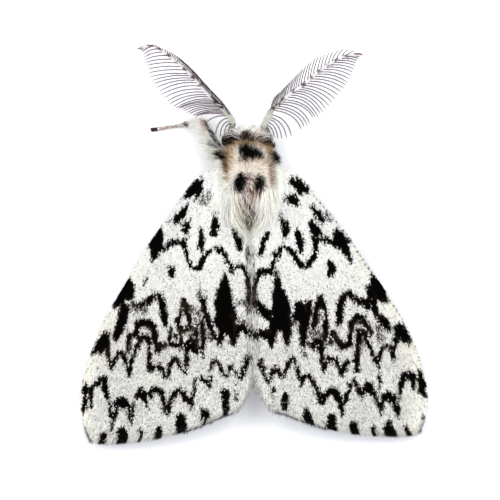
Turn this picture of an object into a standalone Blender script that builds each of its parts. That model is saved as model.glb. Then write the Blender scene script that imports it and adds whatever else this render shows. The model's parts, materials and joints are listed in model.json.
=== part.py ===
"""A black arches moth at rest, life size: a male with feathered feelers, its wings closed like a low roof.

The head points to +Y, the moth's right side to +X, and its feet stand on z = 0. Sizes are worked out in
millimetres, and every finished mesh is brought to metres at the end. The origin is under the middle of its outline.
"""

import math

import bmesh
import bpy
import numpy as np
from mathutils import Vector
from mathutils.bvhtree import BVHTree

METRES = 0.001
GAP = 0.3
MEMBRANE = 0.5
VEIN_RISE = 0.14

# The body, as middle and half sizes along x, y and z.
THORAX_MIDDLE = (0.0, 4.15, 3.25)
THORAX_RADII = (2.1, 2.35, 1.95)
HEAD_MIDDLE = (0.0, 6.85, 2.9)
HEAD_RADII = (1.25, 1.0, 1.15)
EYE_MIDDLE = (1.2, 7.0, 2.75)
EYE_RADIUS = 0.58

# The abdomen, from the thorax back: y, height of its middle, half width and half height at each ring.
ABDOMEN_FRONT = 1.62
ABDOMEN_BACK = -9.9
ABDOMEN_SEGMENTS = 7
ABDOMEN_HEIGHTS = (2.85, 2.45)
ABDOMEN_WIDTH = 1.6
ABDOMEN_DEPTH = 1.28
SEGMENT_STEP = 0.05

# Edges of the right forewing, from its root out, as it lies closed. The outer edge runs from the
# middle of the costa round the wing's tip and along the fringe to the corner beside the other wing.
FOREWING_COSTA = ((1.5, 5.3, 4.0), (3.5, 4.45, 3.65), (5.33, 2.17, 2.85), (6.9, 0.1, 2.3), (8.25, -2.05, 1.9))
FOREWING_DORSUM = (
    (1.5, 3.7, 4.45),
    (1.25, 2.2, 4.75),
    (0.75, 1.1, 4.95),
    (0.3, 0.2, 5.0),
    (0.16, -1.2, 5.0),
    (0.16, -5.0, 4.75),
    (0.17, -8.6, 4.4),
    (0.55, -10.2, 4.15),
    (1.05, -11.1, 4.0),
)
FOREWING_OUTER = (
    (8.25, -2.05, 1.9),
    (9.35, -3.75, 1.65),
    (10.3, -5.4, 1.5),
    (11.2, -7.4, 1.35),
    (11.8, -9.4, 1.25),
    (11.98, -11.4, 1.2),
    (11.6, -13.1, 1.25),
    (10.9, -13.8, 1.35),
    (8.22, -13.7, 1.85),
    (6.06, -13.34, 2.4),
    (4.08, -12.71, 2.95),
    (2.4, -12.0, 3.5),
    (1.45, -11.65, 3.85),
    (1.05, -11.1, 4.0),
)
FOREWING_VEINS = (0.09, 0.2, 0.31, 0.41, 0.5, 0.575, 0.645, 0.715, 0.785, 0.86, 0.94)
FOREWING_CELL_VEINS = (5, 6, 7)
FOREWING_ROWS = 16
CELL_END = 0.52
CAMBER = 0.35

# The hindwing lies under the forewing, which gives its height, so its edges are given in plan.
HINDWING_COSTA = ((1.55, 3.9), (4.2, 2.0), (6.6, -1.2), (8.3, -4.2), (9.2, -7.0))
HINDWING_DORSUM = ((1.6, 2.8), (1.95, 0.5), (2.0, -2.5), (1.9, -6.0), (1.6, -8.8))
HINDWING_OUTER = ((9.2, -7.0), (9.2, -9.3), (8.0, -11.1), (5.8, -11.6), (3.6, -11.0), (2.2, -9.9), (1.6, -8.8))
HINDWING_VEINS = (0.12, 0.27, 0.4, 0.52, 0.66, 0.8, 0.91)
HINDWING_CELL_VEINS = (2, 3)
HINDWING_ROWS = 15

# The feelers: the shaft's points on the right side, and how the rays of its two combs grow.
SHAFT_RIGHT = (
    (0.62, 6.9, 3.4),
    (0.98, 7.75, 3.95),
    (1.75, 9.2, 4.15),
    (2.9, 10.2, 4.35),
    (3.85, 11.15, 4.45),
    (4.75, 11.75, 4.45),
    (5.7, 12.4, 4.35),
    (6.75, 12.9, 4.1),
    (8.0, 12.85, 3.8),
)
SHAFT_LEFT = (
    (-0.6, 6.9, 3.4),
    (-0.9, 7.75, 3.95),
    (-1.35, 8.7, 4.1),
    (-2.1, 10.0, 4.35),
    (-3.2, 11.2, 4.5),
    (-4.3, 12.25, 4.5),
    (-5.35, 13.05, 4.4),
    (-6.45, 13.6, 4.15),
    (-7.5, 13.55, 3.8),
)
SHAFT_RADII = (0.3, 0.16)

# Each comb of a feeler: the share of the shaft that it covers, the length of its longest rays, the share of that
# length that they have along the comb, and which way they point: along the shaft, out to its side, and up.
RAYS_EACH_SIDE = 11
RAY_RADII = (0.25, 0.24, 0.19, 0.1)
RAY_HOOK = 0.32
COMB_SPAN = (0.17, 0.95)
COMB_PROFILE = ((0.0, 0.6), (0.12, 0.85), (0.35, 1.0), (0.6, 0.92), (0.85, 0.6), (1.0, 0.3))
COMB_OUTER = (2.75, (0.2, 1.0, -0.35))
COMB_INNER_RIGHT = (1.9, (0.9, -0.6, 0.2))
COMB_INNER_LEFT = (1.7, (0.85, -0.15, 0.75))

# The legs: the middle line and the thickness of each, on the right side unless it says otherwise.
FOOT = 0.17
MIDLEG = ((1.05, 3.9, 1.75), (2.2, 3.75, 1.45), (3.7, 3.2, 1.75), (4.6, 1.9, 0.75), (5.0, 1.3, FOOT), (5.85, 0.35, FOOT))
HINDLEG = ((0.95, 2.7, 1.85), (1.9, 1.9, 1.4), (3.1, 0.6, 1.6), (3.9, -2.2, 0.8), (4.15, -3.2, FOOT), (4.7, -5.9, FOOT))
FORELEG_TUCKED = ((0.85, 5.4, 1.8), (1.6, 5.9, 1.45), (2.1, 6.8, 1.3), (1.75, 7.3, 0.7), (1.4, 7.5, FOOT), (0.2, 7.55, FOOT))
FORELEG_STRETCHED = (
    (-0.9, 5.5, 1.8),
    (-1.9, 6.2, 1.75),
    (-3.0, 8.3, 1.5),
    (-3.9, 8.4, 0.75),
    (-4.5, 8.3, FOOT),
    (-6.4, 8.08, FOOT),
)
LEG_RADII = (0.5, 0.5, 0.42, 0.36, 0.27, 0.27)
STRETCHED_RADII = (0.55, 0.62, 0.6, 0.42, 0.3, 0.28)

PALP = ((0.42, 7.5, 2.05), (0.45, 8.0, 2.2), (0.38, 8.25, 2.55))
PALP_RADII = (0.3, 0.32, 0.16)

# Hair in locks. The coat grows from the thorax in rings, each set by how far it is from the front pole in
# degrees, how far it spreads to each side of the back, its locks' number, length and half width.
COAT_RINGS = (
    (28, 62, 4, 1.3, 0.5),
    (54, 84, 6, 1.5, 0.52),
    (84, 42, 4, 1.8, 0.55),
    (114, 42, 4, 2.0, 0.55),
    (142, 50, 3, 1.8, 0.5),
)
COAT_HALF_THICKNESS = 0.25
LOCK_RINGS = 4
COAT_STAND = 0.32
COAT_SINK = 0.4
SHAKE = 0.07

# The long locks over each wing's root, from the innermost to the outermost: where they start and where they end.
TEGULA_LOCKS = 5
TEGULA_STARTS = ((0.95, 5.6, 4.55), (1.65, 5.1, 4.15))
TEGULA_ENDS = ((1.15, 1.05, 5.3), (2.75, 2.9, 4.9))
TEGULA_HALF_WIDTH = 0.42

# The tuft between the feelers, as fans of short locks on the head, and the fluff down the stretched foreleg.
TUFT_LOCKS = 3
TUFT_LENGTH = 0.95
TUFT_HALF_WIDTH = 0.24
FLUFF_LOCKS = 9
FLUFF_SPAN = (0.16, 0.62)
FLUFF_LENGTH = 1.0
FLUFF_HALF_WIDTH = 0.27

FUR_WHITE = (0.86, 0.85, 0.79)
SCALE_WHITE = (0.80, 0.79, 0.74)
HIND_GREY = (0.55, 0.51, 0.46)
HEAD_BROWN = (0.20, 0.14, 0.10)
EYE_BLACK = (0.02, 0.016, 0.014)
FEELER_BROWN = (0.17, 0.12, 0.11)
LEG_GREY = (0.52, 0.47, 0.42)


def clear_scene():
    for obj in list(bpy.data.objects):
        bpy.data.objects.remove(obj)


def material(name, colour, roughness=0.8):
    made = bpy.data.materials.new(name)
    made.use_nodes = True
    shader = made.node_tree.nodes["Principled BSDF"]
    shader.inputs["Base Color"].default_value = (*colour, 1.0)
    shader.inputs["Roughness"].default_value = roughness
    shader.inputs["Metallic"].default_value = 0.0
    return made


def add_object(name, mesh, look=None):
    obj = bpy.data.objects.new(name, mesh)
    bpy.context.scene.collection.objects.link(obj)
    if look:
        mesh.materials.append(look)
    return obj


def smooth_line(points, shares):
    """Points at these shares, from 0 to 1, of the length of a smooth curve through the given points."""
    points = np.array(points, float)
    ends = np.vstack([2 * points[0] - points[1], points, 2 * points[-1] - points[-2]])
    fine = []
    for i in range(len(points) - 1):
        before, start, end, after = ends[i : i + 4]
        for t in np.linspace(0, 1, 24, endpoint=False):
            fine.append(
                0.5
                * (
                    2 * start
                    + (end - before) * t
                    + (2 * before - 5 * start + 4 * end - after) * t**2
                    + (3 * start - before - 3 * end + after) * t**3
                )
            )
    fine = np.array([*fine, points[-1]])
    run = np.concatenate([[0], np.cumsum(np.linalg.norm(np.diff(fine, axis=0), axis=1))])
    wanted = np.asarray(shares) * run[-1]
    return np.stack([np.interp(wanted, run, fine[:, axis]) for axis in range(fine.shape[1])], axis=1)


def mirrored(points):
    return tuple((-x, *rest) for x, *rest in points)


def mesh_from(name, corners, faces):
    mesh = bpy.data.meshes.new(name)
    mesh.from_pydata([tuple(c) for c in corners], [], [tuple(f) for f in faces])
    shape = bmesh.new()
    shape.from_mesh(mesh)
    bmesh.ops.recalc_face_normals(shape, faces=shape.faces)
    shape.to_mesh(mesh)
    shape.free()
    return mesh


def loft(name, middles, widths, depths, up=(0, 0, 1), sides=8, pointed=False):
    """A closed body on rings set across a line. Each ring has a half width, and a half depth towards up."""
    middles = np.array(middles, float)
    along = np.gradient(middles, axis=0)
    corners, faces = [], []
    for middle, way, width, depth in zip(middles, along, widths, depths):
        tangent = Vector(way).normalized()
        across = tangent.cross(Vector(up)).normalized()
        rise = across.cross(tangent)
        for k in range(sides):
            angle = 2 * math.pi * k / sides
            corners.append(Vector(middle) + across * width * math.cos(angle) + rise * depth * math.sin(angle))
    rings = len(middles)
    for ring in range(rings - 1):
        for k in range(sides):
            a, b = ring * sides + k, ring * sides + (k + 1) % sides
            faces.append((a, b, b + sides, a + sides))
    faces.append(tuple(reversed(range(sides))))
    last = (rings - 1) * sides
    if pointed:
        tip = len(corners)
        corners.append(Vector(middles[-1]) + Vector(along[-1]).normalized() * widths[-1])
        faces += [(last + k, last + (k + 1) % sides, tip) for k in range(sides)]
    else:
        faces.append(tuple(range(last, last + sides)))
    return mesh_from(name, corners, faces)


def ball(name, middle, radii, segments=16, rings=10):
    shape = bmesh.new()
    bmesh.ops.create_uvsphere(shape, u_segments=segments, v_segments=rings, radius=1.0)
    bmesh.ops.scale(shape, vec=Vector(radii), verts=shape.verts)
    bmesh.ops.translate(shape, vec=Vector(middle), verts=shape.verts)
    mesh = bpy.data.meshes.new(name)
    shape.to_mesh(mesh)
    shape.free()
    return mesh


def apply_modifiers(obj):
    """Leaves the shape that the modifiers make as the object's own mesh."""
    graph = bpy.context.evaluated_depsgraph_get()
    made = bpy.data.meshes.new_from_object(obj.evaluated_get(graph))
    obj.modifiers.clear()
    obj.data = made
    bpy.context.view_layer.update()


def keep_largest(obj):
    """Drops loose scraps, and the inner face of any hollow that fusing sealed."""
    shape = bmesh.new()
    shape.from_mesh(obj.data)
    left, groups = set(shape.faces), []
    while left:
        group, edge = set(), [next(iter(left))]
        while edge:
            face = edge.pop()
            if face in group:
                continue
            group.add(face)
            edge += [other for side in face.edges for other in side.link_faces if other not in group]
        left -= group
        groups.append(group)
    groups.sort(key=lambda faces: -sum(face.calc_area() for face in faces))
    for group in groups[1:]:
        bmesh.ops.delete(shape, geom=list(group), context="FACES")
    loose = [v for v in shape.verts if not v.link_faces]
    bmesh.ops.delete(shape, geom=loose, context="VERTS")
    shape.to_mesh(obj.data)
    shape.free()


def combine(obj, others, operation, solver="EXACT", whole=True):
    """Fuses the other objects with this one, or cuts them from it, and removes them."""
    helpers = bpy.data.collections.new(f"{obj.name}_{operation}")
    bpy.context.scene.collection.children.link(helpers)
    for other in others:
        for home in list(other.users_collection):
            home.objects.unlink(other)
        helpers.objects.link(other)
    modifier = obj.modifiers.new(operation, "BOOLEAN")
    modifier.operation = operation
    modifier.operand_type = "COLLECTION"
    modifier.collection = helpers
    modifier.solver = solver
    bpy.context.view_layer.update()
    apply_modifiers(obj)
    for other in others:
        bpy.data.objects.remove(other)
    bpy.data.collections.remove(helpers)
    if whole:
        keep_largest(obj)


def between_veins(veins):
    """Column places of a wing: each vein, and the valley half way to the next."""
    edges = (0.0, *veins, 1.0)
    places = [0.0]
    for low, high in zip(edges, edges[1:]):
        places += [(low + high) / 2, high]
    return places


def stretch_sheet(costa, outer, dorsum, rows, columns):
    """A grid of points that fills the space between a wing's root, its two long edges and its outer edge."""
    along = np.linspace(0, 1, rows)
    front, back = smooth_line(costa, along), smooth_line(dorsum, along)
    rim = smooth_line(outer, columns)
    u, v = along[:, None, None], np.array(columns)[None, :, None]
    root = front[0] * (1 - v) + back[0] * v
    corners = (1 - u) * root + u * (front[-1] * (1 - v) + back[-1] * v)
    return (1 - v) * front[:, None] + v * back[:, None] + (1 - u) * root + u * rim[None] - corners


def vein_heights(rows, columns, veins, cell_veins):
    """How far each point of a wing's grid stands up: a vein is a ridge, and some start at the end of the cell."""
    rises = np.zeros((rows, len(columns)))
    along = np.linspace(0, 1, rows)
    for i in range(len(veins)):
        started = np.clip((along - CELL_END) * 12, 0, 1) if i in cell_veins else np.clip(along * 8, 0, 1)
        rises[:, 2 * i + 2] = VEIN_RISE * started
    cell_row = int(round(CELL_END * (rows - 1)))
    rises[cell_row, 2 * cell_veins[0] : 2 * cell_veins[-1] + 4] = VEIN_RISE
    return rises


def lowering(grid, thickness):
    """How far down a sheet of this thickness reaches below each point of a wing's grid, from the slope there."""
    along = np.gradient(grid, axis=0)
    across = np.gradient(grid, axis=1)
    normals = np.cross(along, across)
    normals /= np.linalg.norm(normals, axis=2, keepdims=True)
    return thickness / np.clip(np.abs(normals[..., 2]), 0.75, 1.0)


def thick_sheet(name, grid, rises, look, side, thickness=MEMBRANE):
    """A wing as a closed sheet: ridges rise from its upper face, and both faces are split into triangles alike."""
    rows, columns = grid.shape[:2]
    top, under = grid.copy(), grid.copy()
    top[..., 2] += rises
    under[..., 2] -= lowering(grid, thickness)
    corners = np.concatenate([top.reshape(-1, 3), under.reshape(-1, 3)]) * (side, 1, 1)
    below = rows * columns
    faces = []
    for r in range(rows - 1):
        for c in range(columns - 1):
            a, b = r * columns + c, r * columns + c + 1
            d, e = a + columns, b + columns
            for corner in ((a, d, b), (b, d, e)):
                faces += [corner, tuple(below + k for k in reversed(corner))]
    rim = [c for c in range(columns)]
    rim += [r * columns + columns - 1 for r in range(1, rows)]
    rim += [(rows - 1) * columns + c for c in range(columns - 2, -1, -1)]
    rim += [r * columns for r in range(rows - 2, 0, -1)]
    for a, b in zip(rim, rim[1:] + rim[:1]):
        faces += [(a, b, below + b), (a, below + b, below + a)]
    return add_object(name, mesh_from(name, corners, faces), look)


def forewing_grid():
    grid = stretch_sheet(
        FOREWING_COSTA, FOREWING_OUTER, FOREWING_DORSUM, FOREWING_ROWS, between_veins(FOREWING_VEINS)
    )
    along = np.linspace(0, 1, FOREWING_ROWS)[:, None]
    across = np.array(between_veins(FOREWING_VEINS))[None]
    grid[..., 2] += CAMBER * np.sin(math.pi * across) * np.sin(math.pi * np.minimum(1, along * 1.3) / 2)
    return grid


def hindwing_grid(forewing):
    """The hindwing's grid, which hangs under the lower face of the right forewing."""
    flat = [tuple((x, y, 0.0) for x, y in edge) for edge in (HINDWING_COSTA, HINDWING_OUTER, HINDWING_DORSUM)]
    grid = stretch_sheet(*flat, HINDWING_ROWS, between_veins(HINDWING_VEINS))
    for point in grid.reshape(-1, 3):
        above, slope, *_ = forewing.ray_cast(Vector((point[0], point[1], -5.0)), Vector((0, 0, 1)))
        point[2] = above.z - (GAP + 0.06) / max(0.7, abs(slope.z)) - VEIN_RISE
    for _ in range(3):
        padded = np.pad(grid[..., 2], 1, mode="edge")
        smoothed = (padded[:-2, 1:-1] + padded[2:, 1:-1] + padded[1:-1, :-2] + padded[1:-1, 2:]) / 4
        grid[..., 2] = np.minimum(grid[..., 2], smoothed)
    return grid


def make_wings(white, grey):
    """The four wings, with each root cut to the side of the thorax."""
    grid = forewing_grid()
    rises = vein_heights(FOREWING_ROWS, between_veins(FOREWING_VEINS), FOREWING_VEINS, FOREWING_CELL_VEINS)
    right = thick_sheet("forewing_right", grid, rises, white, 1)
    left = thick_sheet("forewing_left", grid, rises, white, -1)
    under = hindwing_grid(tree_of(right))
    rises = vein_heights(HINDWING_ROWS, between_veins(HINDWING_VEINS), HINDWING_VEINS, HINDWING_CELL_VEINS)
    hind_right = thick_sheet("hindwing_right", under, rises, grey, 1)
    hind_left = thick_sheet("hindwing_left", under, rises, grey, -1)
    for wing in (right, left, hind_right, hind_left):
        cut_clear(wing, "thorax")
    return right, left


def body_ball(of, grown=0.0):
    """A copy of a body piece's own ellipsoid, grown by a gap for cutting its neighbours clear."""
    x, y, z = EYE_MIDDLE
    middles = {
        "thorax": (THORAX_MIDDLE, THORAX_RADII),
        "head": (HEAD_MIDDLE, HEAD_RADII),
        "eye_right": ((x, y, z), (EYE_RADIUS,) * 3),
        "eye_left": ((-x, y, z), (EYE_RADIUS,) * 3),
    }
    middle, radii = middles[of]
    segments, rings = {"thorax": (20, 12), "head": (16, 10)}.get(of, (12, 8))
    return add_object(of if not grown else "cutter", ball(of, middle, tuple(r + grown for r in radii), segments, rings))


def cut_clear(obj, *others, solver="MANIFOLD"):
    """Cuts a piece back so that it ends just short of these body pieces."""
    combine(obj, [body_ball(other, GAP) for other in others], "DIFFERENCE", solver)


def lock(line, half_width, half_thickness, up):
    """A flat lock of hair along a line. It tapers to a point, and lies with its flat side to up."""
    middles = smooth_line(line, np.linspace(0, 1, LOCK_RINGS))
    fullness = np.array((0.8, 1.0, 0.8, 0.3))
    depth = half_thickness * np.array((1.0, 1.0, 0.85, 0.4))
    return add_object("lock", loft("lock", middles, half_width * fullness, depth, up=up, sides=4, pointed=True))


def lift_over(obj, below, sides=4):
    """Bends a lock up, ring by ring, so that it lies clear over the forewings and the abdomen."""
    corners = obj.data.vertices
    for first in range(sides, len(corners), sides):
        group = corners[first : first + sides]
        lift = 0.0
        for corner in group:
            x, y, z = corner.co
            under = below.ray_cast(Vector((abs(x), y, 20.0)), Vector((0, 0, -1)))[0]
            if under is not None:
                lift = max(lift, under.z + GAP + 0.1 - z)
        for corner in group:
            corner.co.z += lift


def coat_lock(degrees_back, degrees_round, length, half_width, chance):
    """A lock that grows from the thorax and lies back along it."""
    middle, radii = np.array(THORAX_MIDDLE), np.array(THORAX_RADII)
    back, around = math.radians(degrees_back), math.radians(degrees_round)
    place = np.array((math.sin(back) * math.sin(around), math.cos(back), math.sin(back) * math.cos(around)))
    normal = place / radii
    normal /= np.linalg.norm(normal)
    root = middle + place * radii
    flow = np.array((math.cos(back) * math.sin(around), -math.sin(back), math.cos(back) * math.cos(around))) * radii
    flow /= np.linalg.norm(flow)
    flow += chance.uniform(-1, 1, 3) * SHAKE
    line = [
        root - normal * COAT_SINK - flow * 0.1,
        root + normal * COAT_STAND * 0.6 + flow * length * 0.3,
        root + normal * COAT_STAND * 0.9 + flow * length * 0.65,
        root + normal * COAT_STAND * 0.5 + flow * length,
    ]
    return lock(line, half_width, COAT_HALF_THICKNESS, normal)


def tegula_lock(share, side):
    """One of the long locks that start on the shoulder and lie over the root of a wing."""
    start = np.array(TEGULA_STARTS[0]) * (1 - share) + np.array(TEGULA_STARTS[1]) * share
    end = np.array(TEGULA_ENDS[0]) * (1 - share) + np.array(TEGULA_ENDS[1]) * share
    bulge = np.array((0.25 + 0.2 * share, 0.0, 0.55))
    line = [start + (-0.35, 0.1, -0.35), start + (0.05, -0.2, 0.2), (start + end) / 2 + bulge, end]
    line = np.array(line) * (side, 1, 1)
    return lock(line, TEGULA_HALF_WIDTH, COAT_HALF_THICKNESS, (side * (0.3 + 0.4 * share), 0.1, 1.0))


def tree_of(*objs):
    corners, faces = [], []
    for obj in objs:
        first = len(corners)
        corners += [v.co.copy() for v in obj.data.vertices]
        faces += [tuple(first + k for k in polygon.vertices) for polygon in obj.data.polygons]
    return BVHTree.FromPolygons(corners, faces)


def make_thorax(look, wings, abdomen):
    """The thorax in its long coat, with a bunch of longer locks over the root of each wing."""
    chance = np.random.default_rng(3)
    locks = []
    for index, (back, spread, count, length, half_width) in enumerate(COAT_RINGS):
        for k in range(count):
            around = spread * (2 * k / (count - 1) - 1) * (0.93 if index % 2 else 1.0)
            locks.append(coat_lock(back, around, length * chance.uniform(0.88, 1.1), half_width, chance))
    for side in (1, -1):
        locks += [tegula_lock(k / (TEGULA_LOCKS - 1), side) for k in range(TEGULA_LOCKS)]
    below = tree_of(wings[0], abdomen)
    for piece in locks:
        lift_over(piece, below)
    coat, *others = locks
    combine(coat, others, "UNION", whole=False)
    grid = forewing_grid()
    grid[:, 0, :2] += GAP
    grid[:, -1, :2] -= (GAP, GAP / 3)
    rises = np.full(grid.shape[:2], VEIN_RISE + GAP)
    cutters = [thick_sheet("cutter", grid, rises, None, side, MEMBRANE + GAP) for side in (1, -1)]
    cutters += [abdomen_body(GAP), body_ball("head", GAP)]
    combine(coat, cutters, "DIFFERENCE", "MANIFOLD", whole=False)
    thorax = body_ball("thorax")
    thorax.data.materials.append(look)
    combine(thorax, [coat], "UNION", "MANIFOLD")


def make_head(brown, black):
    """The head with a socket for each eye and the tuft on its front, and the two eyes."""
    head = body_ball("head")
    head.data.materials.append(brown)
    locks = []
    x, y, z = HEAD_MIDDLE
    for k in range(TUFT_LOCKS):
        lean = 0.85 * (2 * k / (TUFT_LOCKS - 1) - 1)
        way = np.array((lean * 0.2, 0.75, 0.62))
        way /= np.linalg.norm(way)
        root = np.array((x + lean * 0.1, y + 0.35, z + 0.4))
        line = [root, root + way * 0.5, root + way * 0.9, root + way * (0.55 + TUFT_LENGTH) + (0, 0.1, -0.1)]
        locks.append(lock(line, TUFT_HALF_WIDTH, COAT_HALF_THICKNESS, (0, -0.6, 0.8)))
    combine(head, locks, "UNION")
    cut_clear(head, "thorax", "eye_right", "eye_left")
    for side in ("eye_right", "eye_left"):
        body_ball(side).data.materials.append(black)


def abdomen_body(grown=0.0):
    """A body of ringed segments that narrows to the tail."""
    middles, widths, depths = [], [], []
    for share in np.linspace(0, 1, ABDOMEN_SEGMENTS * 3 + 1):
        y = ABDOMEN_FRONT + (ABDOMEN_BACK - ABDOMEN_FRONT) * share
        z = ABDOMEN_HEIGHTS[0] + (ABDOMEN_HEIGHTS[1] - ABDOMEN_HEIGHTS[0]) * share
        full = 0.42 + 0.58 * math.sin(math.pi * min(1.0, 0.16 + share * 0.84)) ** 0.45
        step = 1 + SEGMENT_STEP * ((share * ABDOMEN_SEGMENTS) % 1.0 - 0.5)
        middles.append((0.0, y, z))
        widths.append(ABDOMEN_WIDTH * full * step + grown)
        depths.append(ABDOMEN_DEPTH * full * step + grown)
    return add_object("abdomen" if not grown else "cutter", loft("abdomen", middles, widths, depths, sides=12))


def make_abdomen(look):
    abdomen = abdomen_body()
    abdomen.data.materials.append(look)
    cut_clear(abdomen, "thorax")
    return abdomen


def ray(root, way, hook, length):
    """One ray of a feeler, which tapers and hooks towards its end."""
    shares = np.linspace(0, 1, len(RAY_RADII))
    middles = [root + way * length * t + hook * length * t * t for t in shares]
    depths = np.array(RAY_RADII)
    return add_object("ray", loft("ray", middles, depths, depths, up=(0.1, 0.2, 1.0), sides=5, pointed=True))


def make_feeler(name, shaft, inner, side, look):
    """A feeler: a tapering shaft with a comb of rays down each side, coarser and fewer than the real ones."""
    shares = np.linspace(0, 1, 14)
    radii = SHAFT_RADII[0] + (SHAFT_RADII[1] - SHAFT_RADII[0]) * shares
    feeler = add_object(name, loft(name, smooth_line(shaft, shares), radii, radii, pointed=True), look)
    span = np.linspace(0, 1, RAYS_EACH_SIDE)
    roots = smooth_line(shaft, COMB_SPAN[0] + (COMB_SPAN[1] - COMB_SPAN[0]) * span)
    along = np.gradient(roots, axis=0)
    along /= np.linalg.norm(along, axis=1, keepdims=True)
    places, lengths = zip(*COMB_PROFILE)
    rays = []
    for longest, (forward, out, up) in (COMB_OUTER, inner):
        for root, ahead, share in zip(roots, along, span):
            outward = np.cross(ahead, (0, 0, 1)) * side
            way = ahead * forward + outward * out + np.array((0, 0, 1)) * up
            way /= np.linalg.norm(way)
            rays.append(ray(root, way, -ahead * RAY_HOOK, longest * np.interp(share, places, lengths)))
    combine(feeler, rays, "UNION", "MANIFOLD")
    cut_clear(feeler, "head", "eye_right" if side > 0 else "eye_left")


def make_leg(name, points, radii, look):
    """A leg as one bent tube. Its foot lies flat on the floor, and its top is cut to the thorax."""
    shares = np.linspace(0, 1, 18)
    line = smooth_line(points, shares)
    given = np.linspace(0, 1, len(radii))
    thickness = np.interp(shares, given, radii)
    leg = add_object(name, loft(name, line, thickness, thickness, sides=8), look)
    for corner in leg.data.vertices:
        corner.co.z = max(corner.co.z, 0.0)
    cut_clear(leg, "thorax")
    return leg


def add_fluff(leg, points):
    """The white fluff on the stretched foreleg, in locks that lean out to both sides and towards its foot."""
    shares = np.linspace(*FLUFF_SPAN, FLUFF_LOCKS)
    roots = smooth_line(points, shares)
    along = np.gradient(roots, axis=0)
    locks = []
    for k, (root, ahead) in enumerate(zip(roots, along)):
        ahead = ahead / np.linalg.norm(ahead)
        beside = np.cross(ahead, (0, 0, 1)) * (1 if k % 2 else -1)
        way = ahead * 0.7 + beside * 0.6 + np.array((0, 0, 0.35 if k % 3 else -0.1))
        way /= np.linalg.norm(way)
        start = root + beside * 0.12
        line = [start, start + way * 0.45, start + way * 0.8, start + way * (0.5 + FLUFF_LENGTH) + ahead * 0.15]
        locks.append(lock(line, FLUFF_HALF_WIDTH, COAT_HALF_THICKNESS, np.cross(ahead, beside) * (1 if k % 2 else -1)))
    combine(leg, locks, "UNION", "MANIFOLD")


def make_legs(look):
    for name, side in (("right", 1), ("left", -1)):
        for kind, points in (("midleg", MIDLEG), ("hindleg", HINDLEG)):
            make_leg(f"{kind}_{name}", points if side > 0 else mirrored(points), LEG_RADII, look)
    make_leg("foreleg_right", FORELEG_TUCKED, LEG_RADII, look)
    add_fluff(make_leg("foreleg_left", FORELEG_STRETCHED, STRETCHED_RADII, look), FORELEG_STRETCHED)


def make_palps(look):
    for name, side in (("palp_right", 1), ("palp_left", -1)):
        points = PALP if side > 0 else mirrored(PALP)
        line = smooth_line(points, np.linspace(0, 1, 6))
        radii = np.interp(np.linspace(0, 1, 6), np.linspace(0, 1, 3), PALP_RADII)
        palp = add_object(name, loft(name, line, radii, radii, pointed=True), look)
        cut_clear(palp, "head", "eye_right" if side > 0 else "eye_left")


def finish_meshes():
    """Puts the middle of the moth's outline over the origin, and brings every mesh to metres."""
    boxes = np.array([(obj.bound_box[0], obj.bound_box[6]) for obj in bpy.data.objects])
    middle = (boxes[:, 0].min(axis=0) + boxes[:, 1].max(axis=0)) / 2
    for obj in bpy.data.objects:
        shape = bmesh.new()
        shape.from_mesh(obj.data)
        bmesh.ops.triangulate(shape, faces=shape.faces)
        bmesh.ops.translate(shape, vec=(-middle[0], -middle[1], 0.0), verts=shape.verts)
        bmesh.ops.scale(shape, vec=(METRES,) * 3, verts=shape.verts)
        shape.to_mesh(obj.data)
        shape.free()
        obj.data.shade_smooth()
        obj.data.set_sharp_from_angle(angle=math.radians(40))


def main():
    clear_scene()
    fur = material("white_fur", FUR_WHITE)
    wings = make_wings(material("wing_scales", SCALE_WHITE, 0.65), material("hindwing_scales", HIND_GREY, 0.7))
    make_thorax(fur, wings, make_abdomen(fur))
    make_head(material("head_fur", HEAD_BROWN), material("eye", EYE_BLACK, 0.2))
    feeler = material("feeler", FEELER_BROWN, 0.5)
    make_feeler("antenna_right", SHAFT_RIGHT, COMB_INNER_RIGHT, 1, feeler)
    make_feeler("antenna_left", SHAFT_LEFT, COMB_INNER_LEFT, -1, feeler)
    legs = material("leg_scales", LEG_GREY)
    make_legs(legs)
    make_palps(legs)
    finish_meshes()


main()
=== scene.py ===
import json
import math

import bpy
import numpy as np
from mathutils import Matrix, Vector
from mathutils.bvhtree import BVHTree
from mathutils.kdtree import KDTree

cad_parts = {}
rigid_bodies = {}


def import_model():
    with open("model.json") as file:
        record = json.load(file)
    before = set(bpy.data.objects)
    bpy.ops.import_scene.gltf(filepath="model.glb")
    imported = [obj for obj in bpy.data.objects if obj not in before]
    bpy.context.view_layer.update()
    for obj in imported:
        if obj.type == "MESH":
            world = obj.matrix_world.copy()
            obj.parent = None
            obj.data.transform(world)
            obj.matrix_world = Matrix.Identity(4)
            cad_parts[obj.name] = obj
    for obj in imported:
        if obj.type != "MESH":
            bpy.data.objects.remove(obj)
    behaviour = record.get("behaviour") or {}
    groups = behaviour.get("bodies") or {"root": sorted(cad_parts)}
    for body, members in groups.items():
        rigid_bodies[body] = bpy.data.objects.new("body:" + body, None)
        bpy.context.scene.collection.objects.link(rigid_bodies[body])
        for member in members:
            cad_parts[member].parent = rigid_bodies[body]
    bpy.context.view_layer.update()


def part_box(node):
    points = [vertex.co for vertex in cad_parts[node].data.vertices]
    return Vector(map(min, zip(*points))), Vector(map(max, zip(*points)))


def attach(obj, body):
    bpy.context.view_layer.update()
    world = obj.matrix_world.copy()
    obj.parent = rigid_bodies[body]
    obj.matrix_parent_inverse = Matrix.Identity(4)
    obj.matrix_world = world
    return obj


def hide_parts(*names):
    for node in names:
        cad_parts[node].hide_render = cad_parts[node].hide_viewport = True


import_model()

mm = 0.001
bothSides = (("right", 1), ("left", -1))

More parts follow.
